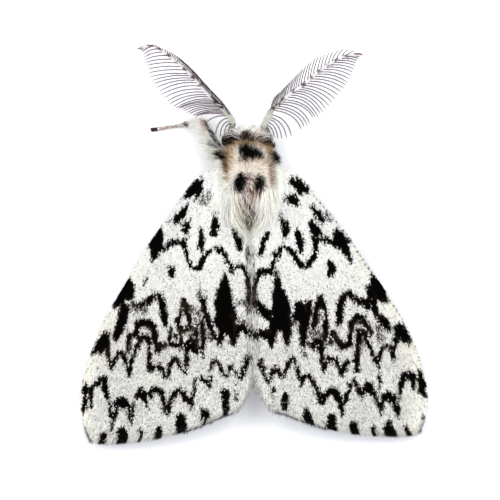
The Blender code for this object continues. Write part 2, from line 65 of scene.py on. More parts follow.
# The drawing sheet lies flat over the moth, with its first unit at the top left.
# All markings are drawn on it, and the camera looks down at it.
sheet = {
    "width": 500,         # in units
    "unit": 0.069,        # one unit of the sheet, in mm
    "turn": 1.485,        # the moth lies turned by this many degrees, against the clock
    "middleY": -0.587,    # the moth's own y under the middle of the sheet
    "eye": 190.0,         # height of the camera over the floor
    "level": 2.5,         # height at which a unit has its exact size
}
sheetMiddle = sheet["width"] / 2
wingEnd = -13.837         # y of the wings' end in this script's own mm, which start under the body
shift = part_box("forewing_right")[0][1] / mm - wingEnd     # from there to the part's own origin


def toSheet(points):
    # Points in mm as an array, to units of the sheet.
    a = math.radians(sheet["turn"])
    x, y = points[..., 0], points[..., 1] - sheet["middleY"] - shift
    size = (sheet["eye"] - sheet["level"]) / (sheet["eye"] - points[..., 2]) / sheet["unit"]
    across, up = x * math.cos(a) - y * math.sin(a), x * math.sin(a) + y * math.cos(a)
    return np.stack([sheetMiddle + across * size, sheetMiddle - up * size], axis=-1)


def fromSheet(px, py, height):
    # A place on the sheet and a height in mm, to a point in mm.
    a = math.radians(sheet["turn"])
    size = (sheet["eye"] - sheet["level"]) / (sheet["eye"] - height) / sheet["unit"]
    u, v = (px - sheetMiddle) / size, (sheetMiddle - py) / size
    x, y = u * math.cos(a) + v * math.sin(a), -u * math.sin(a) + v * math.cos(a)
    return np.array([x, y + sheet["middleY"] + shift, height])


def smoothLine(points, shares):
    # Points at these shares of the length of a smooth curve through the given points.
    points = np.array(points, float)
    ends = np.vstack([2 * points[0] - points[1], points, 2 * points[-1] - points[-2]])
    fine = []
    for i in range(len(points) - 1):
        before, start, end, after = ends[i : i + 4]
        t = np.linspace(0, 1, 12, endpoint=False)[:, None]
        square = (2 * before - 5 * start + 4 * end - after) * t**2
        cube = (3 * start - before - 3 * end + after) * t**3
        fine.append(0.5 * (2 * start + (end - before) * t + square + cube))
    fine = np.vstack([*fine, points[-1:]])
    run = np.concatenate([[0], np.cumsum(np.linalg.norm(np.diff(fine[:, :3], axis=0), axis=1))])
    wanted = np.asarray(shares) * run[-1]
    return np.stack([np.interp(wanted, run, fine[:, k]) for k in range(fine.shape[1])], axis=1)


def unit(vectors):
    return vectors / np.maximum(np.linalg.norm(vectors, axis=-1, keepdims=True), 1e-9)


def ramp(values, start, length):
    # 0 at the start and 1 after this length, straight between. With a length below 0 it falls.
    return np.clip((values - start) / length, 0, 1)


# Markings of the forewings, as strokes on the sheet: x, y and half width at each point.
wingMarks = {
    "right": [
        [(292, 181, 2.6), (297, 184, 4.4), (302, 187.5, 4.2), (308, 191.5, 1.8)],
        [(299, 190, 2.4), (301, 195, 1.4)], [(289, 197.5, 2.6), (293, 200, 4), (297, 203, 2.8)],
        [(311, 206, 1.6), (314, 210, 2.6), (318, 215, 3.6), (322, 220, 2.6)],
        [(326, 215, 0.7), (330, 220, 0.9)],
        [(311, 224, 1.8), (314, 228, 3.8), (318, 231, 3.6), (312.5, 236, 2)],
        [(282.5, 221, 1.8), (285, 227, 3.8), (285.5, 233, 3.2)],
        [(297, 230, 1.8), (299, 236, 3.2), (300, 244, 3.4), (301.5, 252, 2)],
        [(267, 234, 1.8), (264.5, 240, 3), (262, 247, 2.8), (259.5, 255, 1.8)],
        [(337.5, 230, 2.4), (338, 236, 5), (341, 241, 6.6), (346, 241.5, 4)],
        [(341, 243, 5), (345, 250, 4.2), (348, 256, 2), (351, 262, 0.8)],
        [(333, 243, 3), (328, 240, 2.6), (322, 239, 2.8), (317, 242, 2.6), (315.5, 249, 2.4), (314, 256, 2.6),
         (310, 262, 2.6), (305, 267, 3), (300, 264, 2.8), (295.5, 257, 2.4), (291, 251, 2.4), (286, 248, 2.6),
         (280.5, 249.5, 2.6), (277, 254, 2.6), (274, 260, 2.4), (272.5, 268, 2)],
        [(271.5, 273, 2.4), (266, 271.5, 3.2), (260, 272.5, 3), (256, 279, 2.6), (254.5, 288, 2.2),
         (255.5, 298, 2.2)],
        [(329, 263, 2), (332, 267, 3.6), (331, 272, 3.4), (328, 275, 1.2)],
        [(276, 272, 1.2), (276.5, 278, 1.4), (278, 285, 3.4), (279, 292, 5.4), (280.5, 300, 7.6),
         (281, 310, 9.4), (280, 320, 9.6)],
        [(274, 322, 5), (273, 332, 4), (272, 345, 1.8)], [(285, 320, 6), (287, 332, 4.4), (287.5, 347, 1.6)],
        [(254, 300, 2.4), (260, 307, 3.6), (266, 313, 4), (270, 316, 3)],
        [(251, 334, 3), (258, 334, 4), (265, 334, 4), (271, 338, 4), (272, 346, 1.6)],
        [(298, 303, 3), (301, 309, 6), (303, 316, 6.4)], [(308, 304, 3), (308, 312, 3.2), (306, 322, 3.4)],
        [(292, 319, 2.4), (297, 316, 4)],
        [(304, 324, 5), (303, 335, 3.4), (303.5, 346, 2), (304.5, 356, 1.4)],
        [(319, 298, 1.8), (317, 306, 2.6), (315.5, 316, 2.8), (314, 326, 2.8)],
        [(321, 297, 1.6), (324, 305, 2.4), (325.5, 316, 2.4), (326, 328, 2.4), (325, 339, 2.2)],
        [(309, 344, 2.4), (314, 342, 2.4), (320, 343, 3), (321.5, 352, 3), (322.5, 362, 2.8),
         (323, 371, 1.2)],
        [(338.5, 323, 3), (339.5, 315, 3.4), (341, 305, 3), (343, 297.5, 3), (348, 294, 2.8), (353, 297, 3),
         (358, 301, 3.4), (364, 302, 4.4), (368, 303, 3.6), (369, 309, 2)],
        [(349.5, 345, 2.4), (350, 335, 2.4), (351, 327, 2.4), (353, 320, 3), (358, 316, 3.2), (364, 320, 3),
         (368, 327, 2.6), (371, 333, 2.4)],
        [(330, 343, 1.6), (333, 331, 1.8), (337, 343, 1.8)], [(337, 341, 3), (342, 347, 3.6), (348, 345, 3)],
        [(372, 275, 1.6), (375, 283, 5), (379, 291, 7.6), (382, 298, 5), (386, 302, 2.4)],
        [(369, 288, 3.4), (372, 296, 4)],
        [(373, 300, 3), (374, 309, 2.4), (378, 315, 3), (383, 321, 4), (388, 327, 3.4), (389, 331, 1.6)],
        [(357, 370, 2.8), (358, 350, 2.6), (358, 340, 2.4), (360, 332, 2.8), (363, 331, 2.6), (367, 340, 2.4),
         (371, 350, 2), (374.5, 358, 2), (378, 364, 2.4), (381, 352, 2), (384.5, 347, 2.4), (388, 347, 3),
         (392, 350.5, 3.4), (394, 358, 1.6)],
        [(396, 326, 2.6), (400, 330, 5.6), (404, 337, 5.4), (408, 343, 2.6)],
        [(399, 335, 4), (396, 341, 3.2), (394.5, 350, 1.8)],
        [(323, 371, 1.4), (326, 363, 2.4), (329, 358.5, 2.8), (335, 360, 3.2), (338, 366, 2.4),
         (341.5, 374, 2), (345, 366, 2.6), (350, 361, 1.4), (355, 361, 1.4), (358, 370, 2)],
        [(260, 361, 2), (262, 367, 2.6), (265, 375, 2), (268.5, 383, 1.2), (271, 377, 2), (274, 370.5, 2.4),
         (278, 370, 2.4), (281, 378, 1.4)],
        [(283.5, 375, 1.4), (286, 370, 1.6), (289, 363, 2), (293.5, 359.5, 2.2), (296.5, 366, 2),
         (298.5, 378, 1.2)],
        [(301.5, 384, 1.6), (304, 377, 2), (307, 374.5, 1.8), (310, 377, 1.6), (314, 385, 2), (317, 393, 1.6),
         (319.5, 401, 1.4), (321, 404, 2), (325, 396, 3), (331, 391.5, 3.2), (336, 393, 3.4), (339, 400, 3.2),
         (342, 410, 2), (342.5, 415, 1.2)],
        [(343, 412, 1.4), (345, 403, 1.8), (347, 394, 1.8), (350, 385, 2), (353, 381, 2), (357, 385, 2),
         (360, 392, 2.2), (362.5, 400, 1)],
        [(364, 396, 1.4), (365, 386, 2.4), (368, 384, 3.4), (371, 390, 4), (375, 397, 3), (378.5, 405, 2),
         (380, 412, 1.2)],
        [(381, 414, 1), (382, 403, 1.8), (386, 396.5, 3.2), (390, 396, 4.2), (394, 402, 3.4), (397, 411, 1.8),
         (397.5, 417, 1)],
        [(399, 401, 1.2), (400.5, 391, 1.6), (402, 381, 3.2), (406, 376.5, 4.4), (411, 376, 3.8),
         (413, 383, 2.2), (414, 388, 1.2)],
        [(419, 372, 1.2), (421, 378, 3.4), (422.5, 386, 4.4), (421, 391, 3.4), (426, 397, 2.2)],
        [(274, 388, 1.2), (273.5, 396, 1.2)], [(379, 368, 0.9), (379.5, 390, 0.8)],
        [(285.5, 396, 3), (285, 403, 4), (284.5, 409, 2)],
        [(306, 411, 2.6), (307.5, 417, 4.4), (307.5, 421, 3.6)],
        [(331, 419, 4.6), (331.5, 426, 5.4), (332, 430, 4.6)],
        [(353.5, 424, 3.6), (354, 431, 4), (355, 436, 2)], [(373, 428, 2.4), (373.5, 437, 1.8)],
        [(388, 425, 3.6), (389, 432, 5.6), (389, 437, 4.4)],
        [(406, 427, 1.8), (407.5, 433, 2.6), (409, 438, 2.4)], [(423.5, 417, 1.6), (423.5, 421, 1.8)],
    ],
    "left": [
        [(201, 181, 3), (196, 186, 5), (190, 192, 4.4), (186, 196, 1.6)],
        [(200, 188, 3.4), (198, 196, 1.8), (195, 201, 1.2)],
        [(187, 206, 1.6), (184, 211, 3), (180, 217, 3.6), (175.5, 222, 2.4)],
        [(170, 221, 0.8), (168, 223, 0.7)],
        [(189, 221, 1.4), (187, 226, 3.2), (183.5, 229.5, 3.2), (188, 232, 2), (187, 238, 1)],
        [(201.5, 231, 2), (201.5, 238, 3), (200.5, 245, 3.4), (202, 250, 2)],
        [(215, 220.5, 2.6), (215.5, 226, 4), (213.5, 232, 3), (216, 235, 1.6)],
        [(233, 223, 2.2), (235.5, 232, 3), (238, 240, 3.8), (239.5, 248, 3.2)],
        [(248, 245, 1.6), (249, 249, 2.6), (249.5, 253, 1.4)],
        [(160.5, 229, 2), (158, 236, 5), (157, 244, 7), (156, 252, 4.5), (152.5, 260, 1.6)],
        [(151, 245, 3.4), (156, 240, 5)],
        [(163, 249, 2.6), (170, 245, 2.8), (176, 242.5, 2.6), (182, 240.5, 2.4), (184.5, 247, 2),
         (187, 255, 2), (189, 262, 2.4), (193.5, 266.5, 2.8), (199, 267, 2.8), (204, 259, 2.6),
         (208.5, 252, 2.6), (215, 248, 2.4), (221.5, 250.5, 2.6), (225.5, 257, 2.4), (229, 264, 2.2),
         (232.5, 272, 1.8)],
        [(232, 271.5, 2), (237.5, 266.5, 2.4), (243, 268, 2.4), (247, 273, 3), (249.5, 281, 3),
         (249.5, 290, 3), (250, 299, 3)],
        [(170.5, 268, 2.4), (171.5, 271, 3.2), (172.5, 275, 2.2)], [(148, 279, 0.8), (144, 284, 0.8)],
        [(128.5, 279, 2.4), (127, 286, 6), (122, 294, 8), (118, 301, 7)], [(131, 288, 4), (130, 297, 4)],
        [(113, 303, 3), (116, 306, 3)],
        [(125, 309, 5), (123, 315, 5), (121, 325, 5), (117, 335, 4), (115, 339, 2)],
        [(130, 334, 2.5), (129, 343, 2.5), (128, 351, 2)],
        [(133, 305, 3), (139, 305, 3.2), (145, 303, 3.2), (151, 298, 3.2), (157, 296, 3.4), (161, 300, 3.4),
         (163, 310, 3.4), (165, 324, 2.6)],
        [(136, 334, 2.4), (137, 327, 2.6), (140, 322, 4), (146, 323, 4.4), (151, 325, 4), (154, 331, 3),
         (155, 340, 2.6), (157, 349, 2.4)],
        [(158, 350, 2.6), (163, 346, 2.6)],
        [(107, 350, 2), (110, 362, 1.8), (112, 368, 1.8), (115, 360, 2), (120, 354, 2.4), (123, 356, 2.4),
         (126, 364, 2), (129.5, 375, 1.8), (132, 361, 2), (135, 354, 2.2), (138, 344, 2.6), (143, 338, 3),
         (147, 338, 3), (149, 346, 2.4), (149.5, 360, 1.8), (150, 371, 2.2), (155, 367, 2.2),
         (161, 369, 1.8)],
        [(109, 332, 2), (105, 338, 5.4), (102, 345, 6), (97, 351, 3.6), (93, 354, 1.6)],
        [(107, 343, 4), (108, 349, 2)], [(183.5, 300, 1.6), (181, 311, 2.2), (178.5, 323, 2.4)],
        [(185, 300, 1.6), (188, 314, 2.4), (191, 328, 2.4)],
        [(179, 327, 2.4), (186, 328.5, 2.6), (193, 329, 2.4)],
        [(203, 300, 3), (204, 310, 3), (208, 321, 2.8), (212, 330, 2.6), (219, 343, 2.4)],
        [(225.5, 273, 1.4), (225.5, 280, 3), (224, 289, 6), (223.5, 299, 8.5), (224, 309, 9.6),
         (225, 318, 8.6)],
        [(219, 318, 5), (221, 327, 4)], [(230, 322, 6), (232, 332, 4.4), (233.5, 340, 3)],
        [(219, 343, 3), (221.5, 336, 3), (224, 330, 3.4), (229, 334, 3), (234, 341, 3), (240, 327, 3.4),
         (245, 328.5, 3.2), (250, 330, 3)],
        [(232, 308, 2.4), (237, 320, 2.6)], [(169, 340, 2), (172, 328, 2), (176, 338, 2)],
        [(161, 345, 2.6), (166, 347, 2.6)], [(171, 344, 3), (178, 345, 3)],
        [(181, 328, 2.2), (181, 348, 2.2)], [(186, 350, 2), (190.5, 339, 2.4), (195, 349, 2)],
        [(203, 323, 2), (203, 336, 2.2), (203, 349, 2)], [(195, 324, 1.8), (198, 344, 1.8)],
        [(86, 385, 2.4), (85, 392, 3.6)], [(85.5, 399, 2.4), (84.5, 406, 3.4), (83, 412, 2)],
        [(91, 405, 2), (92, 388, 2.4), (98, 383, 3.4), (104, 380, 3.2), (106, 390, 3), (108, 398, 2.4),
         (110, 405, 1.2), (111, 421, 1), (112, 431, 1)],
        [(115, 404, 2.4), (119, 403, 5), (125, 403.5, 5), (129, 406, 2.6)],
        [(117, 410, 2.6), (114.5, 418, 2), (112.5, 425, 1.4)],
        [(129, 411, 2), (131, 423, 1.4), (133, 409, 1.8), (134.5, 403, 2.2), (138, 394, 2.6),
         (141, 388.5, 2.4)],
        [(139, 393, 2.6), (143, 396, 4.6), (146, 400, 2.6), (147.5, 407, 1.4)],
        [(150, 400, 1.4), (151, 393, 2.2), (154, 389, 2.6), (158, 390, 2.8), (162, 395, 2.6), (164, 401, 2.4),
         (164.5, 411, 1.6)],
        [(160, 363, 2), (163, 372, 2), (166, 379, 1.4), (169, 368, 2), (171, 362, 2.2), (175, 359.5, 2.4),
         (179, 364, 2.2), (184, 372, 1.6)],
        [(186, 371, 2), (187, 358, 2.6), (187, 345, 2.8)],
        [(191, 346, 2.2), (195, 350, 3), (201, 353, 2.8), (203, 357, 1.4)],
        [(211, 370, 1.6), (215, 360.5, 2.4), (219, 365, 2), (222, 371, 2), (226, 376.5, 1.4), (229.5, 371, 2),
         (231, 366, 2.2), (235, 370, 1.8), (240, 378, 1.4)],
        [(241, 376, 2.6), (245, 365, 3), (250.5, 355, 2.6)], [(211, 374, 1.2), (212, 383, 1.2)],
        [(201.5, 378, 2.4), (206, 381, 2.8), (210, 385.5, 2)],
        [(195, 380, 1.8), (193.5, 395, 1.8), (192, 409, 1.4)],
        [(169, 415, 1.4), (170, 405, 2.2), (172, 397, 3), (178, 392.5, 3.4), (184, 395, 3.4),
         (188.5, 400, 2.6), (191, 406, 1.8)],
        [(160, 388, 1.2), (163, 398, 1.2), (166, 409, 1)], [(235, 383, 1.1), (237, 401, 1.1)],
        [(103, 436, 3.4), (104, 443, 4)], [(122, 431, 4.6), (123, 440, 5.6), (123, 446, 3.6)],
        [(141, 431, 1.8), (142, 442, 2)], [(158, 429, 3.4), (159, 438, 3.8)],
        [(181, 419, 5), (182, 427, 5.4), (183, 432, 3.4)], [(204, 412, 3.6), (205.5, 417, 4.2)],
        [(225.5, 393, 4), (226, 400, 4.2), (226, 408, 2.6), (226, 414, 2)],
    ],
}
# Brown smears between the black marks, where only a part of the scales is dark.
wingSmears = [
    [(203, 202, 4), (208, 196, 4), (211, 193, 3)], [(215, 214, 2.4), (216, 219, 2.4)],
    [(200, 292, 2.4), (199, 298, 2.4)], [(134, 308, 3), (140, 311, 4), (145, 310, 3)],
    [(140, 324, 4), (150, 328, 4)], [(158, 347, 3.4), (164, 347, 3)],
    [(190, 308, 3), (197, 314, 5), (200, 320, 4)],
    [(180, 330, 4), (190, 334, 4), (204, 334, 4), (212, 338, 4)], [(239, 302, 3), (248, 305, 4)],
    [(251, 290, 3), (251, 302, 3)], [(239, 322, 3), (247, 322, 3)], [(281, 196, 4), (286, 200, 4)],
    [(280, 214, 2.4), (281, 219, 2.4)], [(354, 322, 3), (361, 321, 4), (366, 325, 3)],
    [(378, 328, 3), (380, 338, 4)], [(361, 338, 3), (363, 344, 3)],
    [(337, 340, 4), (343, 346, 5), (348, 345, 4)], [(334, 336, 3), (334, 344, 3)],
    [(318, 310, 2), (320, 322, 2.4)], [(311, 331, 4), (318, 336, 5), (324, 342, 4)],
    [(312, 345, 4), (320, 348, 4)], [(258, 306, 4), (264, 312, 4)], [(256, 333, 4), (266, 332, 4)],
    [(294, 322, 4), (300, 326, 4)], [(306, 332, 4), (306, 344, 3)],
]


def patchNoise(spots, cell, seed):
    # Smooth random hills and dips over the sheet, of this width and height.
    size = 97                                  # after so many hills the pattern starts again
    table = np.random.default_rng(seed).normal(0, 1, (size, size))
    place = spots / cell
    low = np.floor(place).astype(int)
    part = place - low
    part = part * part * (3 - 2 * part)
    a, b = low[:, 0] % size, low[:, 1] % size
    c, d = (a + 1) % size, (b + 1) % size
    near = table[a, b] * (1 - part[:, 0]) + table[c, b] * part[:, 0]
    far = table[a, d] * (1 - part[:, 0]) + table[c, d] * part[:, 0]
    return near * (1 - part[:, 1]) + far * part[:, 1]


drawing = {
    "step": 1.5,        # how closely a stroke is followed
    "margin": 14,       # no stroke counts further from its line than this
    "far": 50.0,        # the reach of a spot that no stroke comes near
    "atOnce": 20000,    # spots that are worked out together
}


def strokeReach(spots, stroke):
    # How far each spot lies inside (above 0) or outside (below 0) a stroke, in units of the sheet.
    stroke = np.array(stroke, float)
    length = np.linalg.norm(np.diff(stroke[:, :2], axis=0), axis=1).sum()
    line = smoothLine(stroke, np.linspace(0, 1, max(3, int(length / drawing["step"]))))
    reach = np.full(len(spots), -drawing["far"])
    low, high = line[:, :2].min(0) - drawing["margin"], line[:, :2].max(0) + drawing["margin"]
    near = np.flatnonzero(((spots > low) & (spots < high)).all(1))
    for first in range(0, len(near), drawing["atOnce"]):
        part = near[first : first + drawing["atOnce"]]
        apart = np.linalg.norm(spots[part, None] - line[None, :, :2], axis=2)
        reach[part] = (line[None, :, 2] - apart).max(1)
    return reach


def fullReach(spots, strokes):
    # The same for the nearest of many strokes.
    reach = np.full(len(spots), -drawing["far"])
    for stroke in strokes:
        reach = np.maximum(reach, strokeReach(spots, stroke))
    return reach


frontEdges = (      # the front edges of the wings on the sheet
    [(300, 180), (317, 200), (334, 220), (350, 240), (362, 260), (377, 280), (389, 300), (403, 320),
     (413, 340), (420, 360), (426, 380), (428, 400), (425, 420), (417, 440)],
    [(196, 180), (180, 200), (164, 220), (150, 240), (138, 260), (126, 280), (113, 300), (104, 320),
     (93, 340), (87, 360), (83, 380), (79, 400), (80, 420), (87, 440)],
)


def edgeDistance(spots):
    # How far a spot of the sheet lies from the nearer front edge, in units.
    apart = np.full(len(spots), 99.0)
    for edge in frontEdges:
        line = smoothLine(edge, np.linspace(0, 1, 60))
        for first in range(0, len(spots), drawing["atOnce"]):
            part = slice(first, first + drawing["atOnce"])
            nearest = np.linalg.norm(spots[part, None] - line[None], axis=2).min(1)
            apart[part] = np.minimum(apart[part], nearest)
    return apart


scaleTones = {
    "white": (0.85, 0.84, 0.805),
    "outer": (0.125, 0.13, 0.14),      # how much darker the outer part of the wing is
    "outerFrom": (250, 110),           # where on the sheet that starts, and over how many units it grows
    "cream": (0.12, 0.095, 0.01),      # added along the front edge
    "creamWidth": 19,
    "creamFrom": (220, 60),
    "ink": (0.0022, 0.002, 0.002),
    "brown": (0.030, 0.017, 0.011),    # added to the ink where a mark is brown
    "brownFrom": (285, 20),            # the band across the wing where thin marks are browner, and its end
    "brownTo": (372, -20),
    "speckles": 0.085,                 # share of dark scales in the white
    "grey": (1.0, 0.97, 0.92),         # the cast of dark scales, of smears and of the front rim
    "smear": (0.40, 0.34, 0.30),
    "rim": (0.42, 0.34, 0.28),
    "rimWidth": 1.2,
    "uneven": (0.11, 0.05),            # how much white scales differ, and how much more in the outer part
    "ragged": (0.5, 1.4),              # how far the marks' edges fray across and along the wing
    "scatter": (0.38, 0.65),           # and how far single scales stray
    "fuller": {"right": 0.22, "left": -0.05},    # added to the half width of every mark
    "swell": 0.6,                      # how much the marks' width varies
    "below": (0.33, 0.30, 0.275),      # the lower side of the forewings
    "faint": 0.35,                     # how much of the marks shows there
}


def wingColour(points, chance, side, fray=1.0, speckles=scaleTones["speckles"]):
    # The colour of a wing's scales at points in mm: black marks with ragged edges on speckled white.
    look = {key: np.array(value) for key, value in scaleTones.items() if key != "fuller"}
    count = len(points)
    spots = toSheet(points)
    ragged = np.stack([patchNoise(spots, (1.6, 3.2), 5), patchNoise(spots, (1.3, 4.5), 6)], 1)
    ragged = ragged * look["ragged"]
    frayed = spots + (ragged + chance.normal(0, look["scatter"], (count, 2))) * fray
    smear = fullReach(frayed, wingSmears)
    reach = fullReach(frayed, wingMarks[side])
    reach = reach + patchNoise(spots, (5, 6), 7) * look["swell"] + scaleTones["fuller"][side]
    outer = ramp(spots[:, 1], *look["outerFrom"])
    edge = edgeDistance(spots)
    pale = np.clip(1 - edge / look["creamWidth"], 0, 1) * ramp(spots[:, 1], *look["creamFrom"])
    speckled = chance.random(count) < speckles * (0.5 + outer) * (1 - 0.6 * pale)
    white = look["white"] - look["outer"] * (outer * (1 - 0.8 * pale))[:, None]
    white = white + look["cream"] * pale[:, None]
    shade = 1 + (look["uneven"][0] + look["uneven"][1] * outer) * chance.normal(0, 1, count)
    shade = shade + 0.05 * patchNoise(spots, (0.9, 3.0), 9) + 0.03 * patchNoise(spots, (16, 20), 8)
    colour = white * shade[:, None]
    grey = (0.05 + 0.34 * chance.random(count) ** 1.2)[:, None] * look["grey"]
    rim = (edge < look["rimWidth"]) & (chance.random(count) < 0.6)
    colour = np.where(rim[:, None], grey * look["rim"], colour)
    colour = np.where(speckled[:, None], grey, colour)
    smeared = chance.random(count) < np.clip(0.40 + smear * 0.16, 0, 0.72)
    colour = np.where(smeared[:, None], grey * look["smear"], colour)
    near = np.clip(1 + reach / 2.0, 0, 1) * (reach < 0)
    inked = chance.random(count) < np.where(reach > 0, np.clip(0.84 + reach * 0.2, 0, 1), near * 0.55)
    band = ramp(spots[:, 1], *look["brownFrom"]) * ramp(spots[:, 1], *look["brownTo"])
    brown = chance.normal(0.15, 0.25, count) + 0.45 * band * (0.6 + patchNoise(spots, (9, 9), 10))
    # only thin marks and edges are brown
    brown = np.clip(brown, 0, 1) * np.clip(1.1 - reach / 2.2, 0, 1)
    ink = look["ink"] + brown[:, None] * look["brown"]
    return np.clip(np.where(inked[:, None], ink, colour), 0.002, 0.97)


# Colours of head, thorax and legs: soft blots on the sheet, painted one over the other.
furTones = {
    "white": (1.10, 1.085, 1.01),
    "cool": (0.97, 0.985, 0.91),
    # partly painted light: the thorax disc's pale pink-white fur, set brighter than fur can reflect to lift
    # the shade among its hairs
    "blushPaintedBright": (1.38, 1.26, 1.13),
    "tan": (0.62, 0.405, 0.20),
    "ochre": (0.36, 0.20, 0.07),
    "black": (0.005, 0.004, 0.004),
    "darkBrown": (0.045, 0.027, 0.020),
    "rust": (0.34, 0.16, 0.11),
    "pink": (0.78, 0.53, 0.45),
    "slate": (0.085, 0.085, 0.10),
    "ash": (0.60, 0.60, 0.62),
    "straw": (0.84, 0.80, 0.62),
    "shank": (0.40, 0.29, 0.24),
}
# Each mark: tone, strength, and the stroke with x, y and half width.
furMarks = [
    ("cool", 0.45, [(214, 172, 4), (222, 196, 5), (226, 212, 4)]),
    ("cool", 0.45, [(281, 165, 4), (281, 188, 5), (278, 206, 4)]),
    ("tan", 0.8, [(291, 172, 1.6), (292, 176, 1.4)]),
    ("tan", 0.8, [(202, 174, 1.6), (203, 178, 1.4)]),
    # these blots are the disc's real pale pink fur, with painted light that offsets the shade among the hairs
    ("blushPaintedBright", 0.95, [(234, 160, 9), (248, 167, 13), (262, 166, 8)]),
    ("blushPaintedBright", 0.7, [(230, 178, 6), (248, 184, 9), (268, 178, 6)]),
    ("tan", 0.85, [(226, 150, 3), (231, 146, 3.4), (240, 142.5, 3.6), (250, 141.5, 3.6), (259, 144, 3.4),
                   (266, 148, 3.4), (270.5, 153, 3)]),
    ("tan", 0.5, [(243, 160, 2.6), (252, 160, 3), (259, 158.5, 3.4), (264, 161, 3.4)]),
    ("tan", 0.6, [(231, 150, 3), (232, 157, 3), (229, 166, 3)]),
    ("ochre", 0.85, [(226, 153, 3.2), (225.5, 162, 3.8), (226.5, 170, 3), (226.5, 178, 2)]),
    ("ochre", 0.7, [(270, 152, 2.4), (270, 163, 2.8), (271.5, 173, 2.8), (272, 185, 2)]),
    ("straw", 0.6, [(238, 208, 4), (241, 228, 4)]),
    ("straw", 0.6, [(255, 206, 3), (252, 232, 4.4)]),
    ("ochre", 0.2, [(236, 196, 4), (242, 208, 4)]),
    ("rust", 0.75, [(248, 191.5, 3.4), (254, 193, 4.4), (259.5, 195.5, 3)]),
    ("rust", 0.4, [(250, 176, 2.6), (250.5, 188, 3)]),
    ("pink", 0.6, [(244, 199, 3), (249, 200, 3.4), (255, 200, 3)]),
    ("darkBrown", 0.75, [(234, 138, 3), (242, 136.5, 3.8), (254, 138, 3.4), (261, 140, 3)]),
    ("darkBrown", 0.95, [(222.5, 145.5, 3), (226.5, 142, 4.8), (231, 139.5, 4.8), (235, 138.5, 3.4)]),
    ("darkBrown", 0.8, [(243, 135.5, 3.2), (246.5, 134.5, 5), (250, 136, 4), (252, 139, 2.6)]),
    ("darkBrown", 0.95, [(264, 141, 3), (268, 142, 4.2), (272.5, 145, 2.8)]),
    ("darkBrown", 0.8, [(264.5, 130, 1.6), (266, 133, 1.8)]),
    ("darkBrown", 0.8, [(232, 130, 1.6), (234, 132, 1.6)]),
    ("pink", 0.55, [(256, 131, 2.4), (261, 135, 2.6)]),
    ("black", 0.9, [(232, 140.5, 2.8), (226.5, 142.3, 3.9), (223, 145, 3)]),
    ("black", 0.95, [(264.5, 141, 2.8), (269, 142.5, 3.8), (273, 145.3, 2.8)]),
    ("black", 1.0, [(243, 149.3, 4.6), (246, 151, 6.8), (252, 153, 6.2), (257, 154.3, 4.8),
                    (260.5, 155.5, 2.6)]),
    ("darkBrown", 0.6, [(239.5, 159, 2.2), (246, 160, 2.2)]),
    ("black", 1.0, [(216.5, 153.5, 3.6), (219.5, 154.8, 4.4), (223.5, 157, 3.2)]),
    ("darkBrown", 0.6, [(224, 160, 2.4), (226, 166, 2.2)]),
    ("black", 1.0, [(274, 154.5, 3.4), (277.5, 156, 4.6), (275, 160.5, 3.6)]),
    ("black", 1.0, [(241, 178, 4.8), (240, 184.3, 6.2), (238.8, 188.5, 4.2)]),
    ("darkBrown", 0.6, [(245, 176, 2.4), (245.5, 186, 2.4)]),
    ("black", 1.0, [(259.5, 179.5, 4.8), (260, 186, 5.8), (260.8, 190.5, 3.8)]),
    ("darkBrown", 0.6, [(255, 180, 2), (256, 190, 2.2)]),
    ("darkBrown", 0.95, [(247.5, 203, 3), (249, 212, 3.9), (248.7, 220, 3.4), (248.5, 227, 1.6)]),
    ("pink", 0.7, [(200.5, 121, 1.8), (203, 126, 2), (204, 130, 1.6)]),
    ("slate", 0.95, [(204, 121, 1.4), (208.5, 129, 2.2), (212.5, 137, 2.4), (217.5, 143.5, 2)]),
    ("slate", 0.75, [(209, 143, 1.4), (213, 146, 1.8)]),
    ("ash", 0.3, [(190, 138, 3), (194, 143, 3.4)]),
    ("black", 0.95, [(184, 123, 2), (186.5, 125, 2)]),
    ("shank", 0.8, [(158, 129.5, 2.6), (170, 127.5, 2.6), (181, 126.5, 3)]),
    ("darkBrown", 1.0, [(149, 130, 4), (154, 129.5, 3.6)]),
]
stipple = {       # single dark hairs all over the thorax
    "share": 0.055,
    "tone": (0.10, 0.06, 0.04),
    "middle": (250, 182),
    "reach": (26, 48),
}
furUneven = 0.17       # how much single hairs differ


def furColour(points, chance, spread=0.7):
    # The colour of hair whose visible part lies at these points in mm.
    count = len(points)
    spots = toSheet(points)
    frayed = spots + chance.normal(0, spread, (count, 2))
    colour = np.tile(np.array(furTones["white"]), (count, 1))
    for tone, strength, stroke in furMarks:
        cover = np.clip(0.5 + strokeReach(frayed, stroke) * 0.45, 0, 1) * strength
        hit = (chance.random(count) < cover)[:, None]
        colour = np.where(hit, np.array(furTones[tone]), colour)
    onThorax = (np.abs(spots - stipple["middle"]) < stipple["reach"]).all(1)
    dark = onThorax & (chance.random(count) < stipple["share"])
    colour = np.where(dark[:, None], np.minimum(colour, np.array(stipple["tone"])), colour)
    return np.clip(colour * (1 + furUneven * chance.normal(0, 1, (count, 1))), 0.003, 1.5)


def paintPoints(mesh, colours):
    # Gives every point of a mesh its colour, which the finishes read.
    shade = mesh.attributes.new("coat", "FLOAT_COLOR", "POINT")
    full = np.concatenate([colours, np.ones((len(colours), 1))], 1)
    shade.data.foreach_set("color", full.astype(np.float32).ravel())


def meshPiece(name, points, faces, colours, uvs):
    # A piece made of arrays: points in mm, triangles, a colour and an unwrap place for each point.
    mesh = bpy.data.meshes.new(name)
    mesh.from_pydata((points * mm).tolist(), [], faces.tolist())
    paintPoints(mesh, colours)
    corners = np.empty(len(mesh.loops), np.int32)
    mesh.loops.foreach_get("vertex_index", corners)
    layer = mesh.uv_layers.new(name="OFBake")
    layer.data.foreach_set("uv", uvs[corners].astype(np.float32).ravel())
    piece = bpy.data.objects.new(name, mesh)
    bpy.context.scene.collection.objects.link(piece)
    return piece


